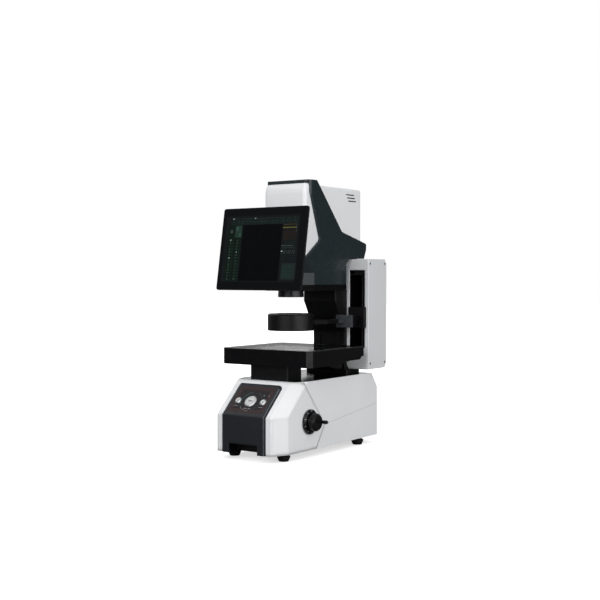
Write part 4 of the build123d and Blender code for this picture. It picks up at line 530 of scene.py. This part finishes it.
def print_panel():
    panel = Sheet(on_slope(0, 0, FASCIA_RISE), SLOPE_NORMAL, PRINT)
    panel.border(0, FILM_MID, FILM_WIDE - 1, FILM_HIGH - 1, FILM_BORDER, MAROON, 5, UNDER_PRINT)
    panel.border(0, FILM_MID, FILM_WIDE, FILM_HIGH, 0.9, MARK_RED, 5)
    panel.border(0, FILM_MID, FILM_WIDE - 2 * FILM_BORDER, FILM_HIGH - 2 * FILM_BORDER, 0.6, MARK_RED, 4)
    panel.bow(0, BUTTONS_UP, 33.2, 34.8, TEAL, 100, 200)
    panel.bow(0, BUTTONS_UP, 33.4, 34.2, TEAL, -70, 70)
    panel.bow(0, BUTTONS_UP, 33.5, 34.4, MARK_GREY, 215, 280)
    panel.bow(0, BUTTONS_UP, 27.5, 28.1, TEAL, 120, 170)
    lamps = {35: LED_BLUE, 52: LED_RED}
    for a, tone in lamps.items():
        panel.disc(a, LAMPS_UP, 2.0, tone)
    for a in lamps:
        panel.ring(a, LAMPS_UP, 2.5, 2.9, MARK_GREY)
    caption(panel, -BUTTON_PITCH, 32, (5, 7))
    caption(panel, 0, 24.5, (9, 4, 8))
    caption(panel, BUTTON_PITCH, 32, (6, 5))
    panel.piece("panel_print", "machine", "membrane")


def cap_sheet(a):
    """Sheet on the top of a button cap."""
    return Sheet(on_slope(a, BUTTONS_UP, CAP_RISE), SLOPE_NORMAL, CAP_PRINT)


def power_sign():
    cap = cap_sheet(-BUTTON_PITCH)
    cap.bow(0, 0, 2.9, 3.7, MARK_DARK, 130, 410)
    cap.rect(0, 2.6, 0.8, 3.6, MARK_DARK, 0.3)
    cap.piece("left_button_sign", "left_button", "membrane")


def start_sign():
    cap = cap_sheet(0)
    cap.shape([(-2.6, -3.0), (3.2, 0.0), (-2.6, 3.0)], MARK_DARK)
    for a in (5.6, -5.0):
        cap.rect(a, 0.0, 1.4, 5.6, MARK_DARK, 0.3)
    cap.ring(0, 0, 12.4, 12.9, MARK_GREY)
    cap.piece("start_button_sign", "start_button", "membrane")


def stop_sign():
    cap = cap_sheet(BUTTON_PITCH)
    cap.rect(0, 0, 3.6, 3.6, MARK_GREY, 0.5)
    cap.piece("right_button_sign", "right_button", "membrane")


print_panel()
power_sign()
start_sign()
stop_sign()

# Marks on the bevelled rim of the handwheel's dial

# The dial's middle, and the rim with the bevel that falls away to it
WHEEL = (119.5, 154.5, 104.5)
DIAL_RADIUS, RIM_HEIGHT = 36.0, 4.5
BEVEL_WIDTH, BEVEL_HEIGHT = 6.0, 4.5
TICKS, NUMBERS = 40, 10
# Width of a tick and the radius where it starts
LONG_TICK, SHORT_TICK = (0.9, 33.9), (0.5, 34.4)
TICK_END, TICK_LIFT = 35.6, 0.12
NUMBER_RADIUS, NUMBER_SIZE, NUMBER_EXTRUDE, NUMBER_LIFT = 31.9, 4.8, 0.04, 0.14


def dial_point(radius, angle, lift):
    """Point above the bevel: angle from straight up, turning towards the back."""
    t = math.radians(angle)
    height = RIM_HEIGHT + (DIAL_RADIUS - radius) / BEVEL_WIDTH * BEVEL_HEIGHT + lift
    return Vector((WHEEL[0] + height, WHEEL[1] + radius * math.sin(t), WHEEL[2] + radius * math.cos(t)))


def dial_ticks():
    """Bars round the rim, with a longer one at each number."""
    dial = bmesh.new()
    for step in range(TICKS):
        long = step % (TICKS // NUMBERS) == 0
        width, start = LONG_TICK if long else SHORT_TICK
        corners = []
        for radius, side in ((start, -1), (start, 1), (TICK_END, 1), (TICK_END, -1)):
            turn = step * 360 / TICKS + side * math.degrees(width / 2 / radius)
            corners.append(dial.verts.new(at(*dial_point(radius, turn, TICK_LIFT))))
        dial.faces.new(corners)
    keep_doubled("dial_ticks", dial, MARK_WHITE, "handwheel")


def dial_number(number):
    """Digit that stands on the bevel with its head outwards."""
    angle = number * 360 / NUMBERS
    radial = Vector((0, math.sin(math.radians(angle)), math.cos(math.radians(angle))))
    normal = (Vector((BEVEL_WIDTH, 0, 0)) + radial * BEVEL_HEIGHT).normalized()
    up = (radial - normal * radial.dot(normal)).normalized()
    name = f"dial_digit_{number}"
    curve = bpy.data.curves.new(name, "FONT")
    curve.body = str(number)
    curve.size = NUMBER_SIZE / MM_PER_M
    curve.align_x = "CENTER"
    curve.align_y = "CENTER"
    curve.extrude = NUMBER_EXTRUDE / MM_PER_M
    source = bpy.data.objects.new(name, curve)
    bpy.context.scene.collection.objects.link(source)
    bpy.context.view_layer.update()
    mesh = bpy.data.meshes.new_from_object(source)
    bpy.data.objects.remove(source)
    point = dial_point(NUMBER_RADIUS, angle, NUMBER_LIFT)
    mesh.transform(placed((up.cross(normal), up, normal), point))
    mesh.materials.clear()
    mesh.materials.append(MARK_WHITE)
    add(name, mesh, "handwheel")


dial_ticks()
for number in range(NUMBERS):
    dial_number(number)

# Picture on the monitor, drawn as thin plates just above its glass

LEAN = math.radians(9.6)
SCREEN_MID = Vector((0, 84, 602))
SCREEN_NORMAL = Vector((0, -math.cos(LEAN), math.sin(LEAN)))
SCREEN_UP = Vector((0, math.sin(LEAN), math.cos(LEAN)))
# Layers of the picture, from the glass outwards
GROUND, BACK, FRONT, TOP = [(lift, 0.03) for lift in (0.03, 0.07, 0.11, 0.15)]


def screen_material(name, value, glow=0.35):
    return material(name, value, 0.16, spec=0.10, tint=0.12, tint_scale=40, grain=0.02, glow=value,
                    glow_strength=glow)


UI_BACK = screen_material("ui_back", (0.0055, 0.0066, 0.0074))
UI_IMAGE = screen_material("ui_image", (0.0012, 0.0014, 0.0020))
UI_SIDE = screen_material("ui_side", (0.0035, 0.0075, 0.0055))
UI_LINE = screen_material("ui_line", (0.010, 0.021, 0.020))
UI_GREEN = screen_material("ui_green", (0.012, 0.026, 0.019))
UI_MOSS = screen_material("ui_moss", (0.022, 0.050, 0.036))
UI_TEXT = screen_material("ui_text", (0.050, 0.066, 0.062))
UI_BRIGHT = screen_material("ui_bright", (0.19, 0.24, 0.22), 0.6)
UI_YELLOW = screen_material("ui_yellow", (0.075, 0.068, 0.020))
UI_BROWN = screen_material("ui_brown", (0.0105, 0.0085, 0.0075))
UI_PANEL = screen_material("ui_panel", (0.0105, 0.0150, 0.0152))
UI_ROW = screen_material("ui_row", (0.009, 0.024, 0.018))


def screen_areas(ui):
    """Ground of the picture, the dark image in its middle and the column at its left."""
    ui.rect(-6, 0, 266, 194, UI_BACK, 3, GROUND)
    ui.rect(-3, -12, 143, 165, UI_IMAGE, 0.5, BACK)
    ui.rect(-103, -12, 50, 166, UI_SIDE, 0.5, BACK)


def menu_bars(ui):
    """Lines along the top, with a row of menu items and a row of tools on them."""
    for b, h, tone in ((85.6, 1.0, UI_LINE), (80.2, 1.4, UI_ROW), (75.4, 1.0, UI_LINE), (72.6, 0.6, UI_ROW)):
        ui.rect(3, b, 238, h, tone, 0.2, BACK)
    widths = (6, 3, 5, 2.4, 4, 3)
    for k in range(24):
        height, tone = 1.3, UI_MOSS
        if k in (0, 8):
            height, tone = 2.0, UI_BRIGHT
        elif k in (1, 4, 5, 9, 13):
            tone = UI_TEXT
        ui.rect(-112 + k * 10.0, 89.4, widths[k % len(widths)], height, tone, 0.4)
    for k in range(17):
        width, tone = (3.2, UI_MOSS) if k % 3 else (4.4, UI_LINE)
        ui.rect(-104 + k * 13.4, 80.2, width, 2.2, tone, 0.6)


def preview(ui):
    """Small view above the tools, with a round sign beside it."""
    ui.rect(-89.5, 51, 24, 35, UI_GREEN, 1)
    ui.rect(-94, 60, 8, 12, UI_MOSS, 1, TOP)
    ui.rect(-84, 42, 7, 9, UI_MOSS, 1, TOP)
    ui.ring(-115, 52, 2.6, 4.6, UI_TEXT, 20)


def tool_icon(ui, kind, a, b, tone):
    if kind == 0:
        ui.ring(a, b, 1.6, 2.5, tone, 20)
    elif kind == 1:
        ui.shape([(a - 2.6, b - 2.2), (a + 2.6, b - 2.2), (a, b + 2.6)], tone)
    elif kind == 2:
        ui.border(a, b, 5.4, 4.2, 0.8, tone, 0.9)
    elif kind == 3:
        ui.rect(a, b + 1.2, 6.4, 0.9, tone, 0.3)
        ui.rect(a, b - 1.2, 4.4, 0.9, tone, 0.3)
    else:
        ui.disc(a, b, 1.6, tone, 16)


def tool_columns(ui):
    """Two columns of small signs, each with a bar beside it."""
    for k in range(14):
        b = 26 - k * 8.8
        for column, a in enumerate((-116, -91)):
            tone = UI_TEXT if (k * 3 + column) % 4 == 0 else UI_MOSS
            if (k, column) in ((0, 0), (6, 0), (4, 1)):
                tone = UI_BRIGHT
            tool_icon(ui, (k * 2 + column) % 5, a, b, tone)
            ui.rect(a + 9, b, 4.0, 0.8, UI_MOSS, 0.3)


def results(ui):
    """Column at the right: a marked row, a table, some values and a panel with rows."""
    ui.rect(94, 68.6, 46, 0.8, UI_YELLOW, 0.2, BACK)
    ui.rect(94, 59.6, 48, 3.4, UI_YELLOW, 0.4, BACK)
    ui.rect(117.4, 56, 0.8, 26, UI_TEXT, 0.2, BACK)
    ui.rect(95, 38, 44, 27, UI_BROWN, 0.5, BACK)
    for k in range(4):
        ui.rect(99, 23 - k * 3.6, 46, 0.5, UI_LINE, 0.2)
    ui.rect(90, 6.8, 42, 1.4, UI_TEXT, 0.4)
    ui.rect(94, 0.6, 48, 1.0, UI_MOSS, 0.3)
    ui.rect(73, -8.7, 6, 2.6, UI_BRIGHT, 0.6)
    for k in range(6):
        ui.rect(82 + k * 7.0, -8.4, 3.4, 1.8, UI_TEXT, 0.5)
        ui.rect(74 + k * 8.4, -14.2, 5.0, 1.5, UI_TEXT if k % 2 else UI_MOSS, 0.4)
    for k in range(3):
        ui.rect(96, -22 - k * 5.4, 50, 0.5, UI_LINE, 0.2, BACK)
    ui.rect(101.5, -66.5, 49, 47, UI_PANEL, 1.0, BACK)
    for k in range(5):
        ui.rect(98 - (k % 2) * 2, -53 - k * 7.0, 34 + (k % 3) * 3, 3.4, UI_ROW, 0.6)


picture = Sheet(SCREEN_MID, SCREEN_NORMAL, FRONT)
for draw in (screen_areas, menu_bars, preview, tool_columns, results):
    draw(picture)
picture.piece("screen_picture", "monitor", "screen_glass")

# Painted seam shade: grey strips in the seams between the base covers, whose tone stands in for the shade
# along each seam and the highlight on its edges

# How far a strip's face and foot lie below the cover's face
FACE_DEPTH = 0.14
SEAM_DEPTH, SEAM_WIDTH = 2.6, 0.96
BASE_HALF = 118.0
BASE_BACK = 534.0
BACK_SEAM_HALF, BACK_SEAM_Z = 117.0, 123.0
# On each side three seams meet. Their points are (y, z).
SEAMS_MEET = (238.0, 88.0)
SEAM_TOP, SEAM_FOOT, SEAM_BACK = (129.7, 219.1), (193.5, 21.3), (533.0, 122.9)


def strip(bm, start, end, inward, depth, width):
    """Bar from start to end in machine millimetres, laid in a gap below the cover's face."""
    a, b, n = Vector(start), Vector(end), Vector(inward).normalized()
    side = (b - a).cross(n).normalized() * width / 2
    corners = []
    for p in (a, b):
        for t in (FACE_DEPTH, depth):
            for k in (-1, 1):
                corners.append(bm.verts.new(at(*(p + n * t + side * k))))
    for quad in ((0, 1, 3, 2), (4, 6, 7, 5), (0, 4, 5, 1), (2, 3, 7, 6), (0, 2, 6, 4), (1, 5, 7, 3)):
        bm.faces.new([corners[i] for i in quad])


def seam_gaskets():
    shade_strips = bmesh.new()
    for side in (-1, 1):
        edge, inward = BASE_HALF * side, (-side, 0, 0)
        meet = (edge, *SEAMS_MEET)
        strip(shade_strips, (edge, *SEAM_TOP), meet, inward, SEAM_DEPTH, SEAM_WIDTH)
        strip(shade_strips, (edge, *SEAM_FOOT), meet, inward, SEAM_DEPTH, SEAM_WIDTH)
        strip(shade_strips, meet, (edge, *SEAM_BACK), inward, SEAM_DEPTH, SEAM_WIDTH)
    left, right = [(side * BACK_SEAM_HALF, BASE_BACK, BACK_SEAM_Z) for side in (-1, 1)]
    strip(shade_strips, left, right, (0, -1, 0), SEAM_DEPTH, SEAM_WIDTH)
    keep_solid("seam_gaskets", shade_strips, [SEAM_SHADE], "machine")


seam_gaskets()

# Cap that carries the front cover's crown up to the shell's roof, and the dark strip behind it

# The crown of the front cover, the turn in degrees along which the cap grows, and half of its section
CROWN_Y, CROWN_Z, CROWN_RADIUS = 225, 767, 28
CAP_START, CAP_TURN, CAP_STEPS = 4, 58, 24
CAP_SINK, CAP_GROWTH = 0.25, 4.85
CAP_FLAT, CAP_CORNER, CAP_HALF, CAP_DROP = 63.6, 11, 74.62, 16.0
CAP_BACK_Y, CAP_BACK_Z = 246.0, 800.1
CAP_THICK = 0.4
ROOF_GAP = (75.2, 247.5, 800.2)
ROOF_GAP_DEPTH, ROOF_GAP_WIDTH = 5.0, 2.4


def crown_cap():
    """Skin that starts just under the cover's surface and grows out of it towards the roof."""
    turns = [math.radians(t) for t in range(0, 91, 15)]
    half = [(CAP_FLAT + CAP_CORNER * math.sin(t), CAP_CORNER - CAP_CORNER * math.cos(t)) for t in turns]
    half.append((CAP_HALF, CAP_DROP))
    section = [(-x, inset) for x, inset in reversed(half)] + half
    rows = []
    for k in range(CAP_STEPS + 1):
        share = k / CAP_STEPS
        turn = math.radians(CAP_START + CAP_TURN * share)
        radius = CROWN_RADIUS + (-CAP_SINK + CAP_GROWTH * share * share * (3 - 2 * share))
        row = []
        for x, inset in section:
            reach = radius - inset
            row.append(at(x, CROWN_Y - reach * math.cos(turn), CROWN_Z + reach * math.sin(turn)))
        rows.append(row)
    rows.append([at(x, CAP_BACK_Y, CAP_BACK_Z - inset) for x, inset in section])
    skin = bmesh.new()
    rows = [[skin.verts.new(place) for place in row] for row in rows]
    for low, high in zip(rows, rows[1:]):
        for k in range(len(section) - 1):
            skin.faces.new([low[k], low[k + 1], high[k + 1], high[k]]).smooth = True
    keep_skin("crown_cap", skin, CAP_THICK, WHITE, "machine")


def roof_gasket():
    x, y, z = ROOF_GAP
    closer = bmesh.new()
    strip(closer, (-x, y, z), (x, y, z), (0, 0, -1), ROOF_GAP_DEPTH, ROOF_GAP_WIDTH)
    keep_solid("roof_gasket", closer, [DARK_HOLE], "machine")


crown_cap()
roof_gasket()

# Painted highlight: a bright line along the bevel of the fascia

# Half the width of the fascia's face, the width of its bevel, and the shares of it that the painted highlight
# covers
FASCIA_HALF, FASCIA_BEVEL = 71, 7
LINE_SHARES = (0.03, 0.36)
LINE_LIFT = 0.07
LINE_FOOT_Z, LINE_UP = 23.0, 103
MITRE = math.tan(math.atan2(SLOPE_DEPTH, SLOPE_HEIGHT) / 2)


def fascia_edge():
    edge = bmesh.new()
    for side in (-1, 1):
        rows = []
        for share in LINE_SHARES:
            x = side * (FASCIA_HALF + FASCIA_BEVEL * share)
            rise = FASCIA_RISE - FASCIA_RISE * share + LINE_LIFT
            fold = (x, -rise, SLOPE_FOOT_Z + rise * MITRE)
            corners = ((x, -rise, LINE_FOOT_Z), fold, on_slope(x, LINE_UP, rise))
            rows.append([edge.verts.new(at(*corner)) for corner in corners])
        inner, outer = rows
        for k in range(2):
            edge.faces.new([inner[k], inner[k + 1], outer[k + 1], outer[k]])
    keep_doubled("fascia_edge", edge, FASCIA_HIGHLIGHT, "machine")


fascia_edge()

# Small fasteners, each size a radius and a height

SHELL_SCREW = (2.6, 1.0)
HEAD_SCREW = (2.6, 1.2)
BASE_SCREW = (3.0, 1.4)
STAGE_SCREW = (2.4, 0.8)
MONITOR_SCREW = (2.8, 1.2)
SCREW_STEPS = 18
SCREW_SUNK = 0.3
MONITOR_DEPTH = 34


def screw_row(name, points, normal, size, body, finish=STEEL_DARK):
    """Button-head screws with a round socket."""
    r, h = size
    s = r * 0.5
    rim = [(r, -SCREW_SUNK), (r, h * 0.35)]
    dome = [(r * 0.86, h * 0.8), (r * 0.62, h)]
    socket = [(s * 1.06, h), (s * 0.98, h * 0.35), (0, h * 0.3)]
    for k, point in enumerate(points):
        place = facing(point, normal)
        lathe(f"{name}_{k}", rim + dome + socket, place, finish, body, SCREW_STEPS)


screw_row("shell_screw", ((81, 364, 557), (81, 387, 556.5)), (1, 0, 0), SHELL_SCREW, "machine")
screw_row("shell_screw_left", [(-81, y, 557) for y in (364, 300, 440)], (-1, 0, 0), SHELL_SCREW, "machine")
for side, end in ((-1, "left"), (1, "right")):
    base_back = [(side * 106, BASE_BACK, z) for z in (36, 106, 140)]
    head_back = [(side * 64, 506, z) for z in (656, 774)]
    bottom = [(side * 104, y, 22) for y in (180, 340, 500)]
    stage = [(side * 161, y, 300) for y in (134, 175, 340)]
    rear = [SCREEN_MID + SCREEN_UP * b - SCREEN_NORMAL * MONITOR_DEPTH for b in (-70, 70)]
    monitor = [(side * 94, point.y, point.z) for point in rear]
    screw_row(f"base_back_screw_{end}", base_back, (0, 1, 0), BASE_SCREW, "machine")
    screw_row(f"head_back_screw_{end}", head_back, (0, 1, 0), HEAD_SCREW, "machine")
    screw_row(f"bottom_screw_{end}", bottom, (0, 0, -1), BASE_SCREW, "machine")
    screw_row(f"stage_screw_{end}", stage, (side, 0, 0), STAGE_SCREW, "stage_table", BLACK_SATIN)
    screw_row(f"monitor_screw_{end}", monitor, -SCREEN_NORMAL, MONITOR_SCREW, "monitor", BLACK_SATIN)

# Floor

FLOOR_HALF = 14.0
FLOOR_DROP = 0.0002
SHADE_START, SHADE_END = 0.25, 2.2
SHADE_GLOW, OPEN_GLOW = 0.58, 1.0


def floor_material():
    """Floor that the camera sees bright, fading to white away from the machine; dim for all other rays."""
    finish = bpy.data.materials.new("pale_floor")
    tree = Tree(finish)
    shader = tree.nodes["Principled BSDF"]
    shader.inputs["Base Color"].default_value = (0.90, 0.90, 0.90, 1)
    shader.inputs["Roughness"].default_value = 0.8
    shader.inputs["Specular IOR Level"].default_value = 0.1
    shader.inputs["Emission Color"].default_value = (1, 1, 1, 1)
    reach = tree.vector_math("LENGTH", tree.coords.outputs["Object"]).outputs["Value"]
    glow = tree.ramp(reach, SHADE_START, SHADE_END, SHADE_GLOW, OPEN_GLOW)
    seen = tree.nodes.new("ShaderNodeLightPath").outputs["Is Camera Ray"]
    tree.links.new(tree.calculate("MULTIPLY", glow, seen), shader.inputs["Emission Strength"])
    dim = tree.nodes.new("ShaderNodeBsdfDiffuse")
    dim.inputs["Color"].default_value = (0.16, 0.16, 0.16, 1)
    choose = tree.nodes.new("ShaderNodeMixShader")
    tree.links.new(seen, choose.inputs["Fac"])
    tree.links.new(dim.outputs["BSDF"], choose.inputs[1])
    tree.links.new(shader.outputs["BSDF"], choose.inputs[2])
    tree.links.new(choose.outputs["Shader"], tree.nodes["Material Output"].inputs["Surface"])
    return finish


floor_mesh = bpy.data.meshes.new("floor")
floor_corners = [(i * FLOOR_HALF, j * FLOOR_HALF, 0) for i, j in ((-1, -1), (1, -1), (1, 1), (-1, 1))]
floor_mesh.from_pydata(floor_corners, [], [(0, 1, 2, 3)])
floor_mesh.materials.append(floor_material())
floor = bpy.data.objects.new("floor", floor_mesh)
floor.location = (0, 0, -FLOOR_DROP)
bpy.context.scene.collection.objects.link(floor)

# World, white for the camera and uneven for the light and the reflections

BACK_RIGHT = (0.574, 0.819, 0.0)
FRONT_LEFT = (-0.574, -0.819, 0.0)
BACK_LEFT = (-0.574, 0.819, 0.0)
CEILING = (-0.25, 0.1, 0.96)

world = bpy.data.worlds.new("studio")
bpy.context.scene.world = world
sky = Tree(world)


def lobe(direction, start, end, low, high):
    """Strength that changes from low to high towards a direction."""
    toward = sky.vector_math("DOT_PRODUCT", sky.coords.outputs["Generated"], direction)
    return sky.ramp(toward.outputs["Value"], start, end, low, high)


shade = lobe(BACK_RIGHT, 0.45, 0.90, 0.38, 0.03)
room = sky.calculate("MULTIPLY", shade, lobe(FRONT_LEFT, 0.6, 0.95, 1.0, 0.5))
room = sky.calculate("ADD", room, lobe(BACK_LEFT, 0.80, 0.97, 0.0, 0.42))
room = sky.calculate("ADD", room, lobe(CEILING, 0.25, 0.80, 0.0, 0.47))
camera_ray = sky.nodes.new("ShaderNodeLightPath").outputs["Is Camera Ray"]
background = sky.nodes["Background"]
background.inputs["Color"].default_value = (1.0, 1.0, 1.0, 1)
sky.links.new(sky.calculate("MAXIMUM", room, camera_ray), background.inputs["Strength"])

# Lights, in scene metres, and the camera, whose place is in machine millimetres


def turned(direction):
    """Rotation that looks along a direction."""
    return direction.to_track_quat("-Z", "Y").to_euler()


def area(name, place, aim, width, height, power):
    light = bpy.data.lights.new(name, "AREA")
    light.shape = "RECTANGLE"
    light.size = width
    light.size_y = height
    light.energy = power
    lamp = bpy.data.objects.new(name, light)
    lamp.location = place
    lamp.rotation_euler = turned(Vector(aim) - Vector(place))
    bpy.context.scene.collection.objects.link(lamp)


area("side", (2.65, -0.40, 0.80), (0, 0, 0.40), 2.0, 2.0, 39)
area("front", (0.25, -2.75, 1.25), (0, 0, 0.35), 2.6, 1.8, 44)
area("strip_front", (2.05, -1.43, 0.35), (0, 0, 0.35), 0.7, 0.7, 3.6)
area("strip_back", (2.30, 0.98, 0.35), (0, 0, 0.35), 0.5, 0.7, 3.0)

AZIMUTH, DOWN = math.radians(34.99), math.radians(1.34)
CAMERA_PLACE = (1851.4, -2367.7, 525.9)
camera_data = bpy.data.cameras.new("camera")
camera_data.lens = 64.1
camera_data.sensor_width = 36.0
camera_data.clip_end = 60.0
camera = bpy.data.objects.new("camera", camera_data)
camera.location = at(*CAMERA_PLACE)
look = Vector((-math.sin(AZIMUTH) * math.cos(DOWN), math.cos(AZIMUTH) * math.cos(DOWN), -math.sin(DOWN)))
camera.rotation_euler = turned(look)
bpy.context.scene.collection.objects.link(camera)
bpy.context.scene.camera = camera
bpy.context.scene.view_settings.view_transform = "Standard"
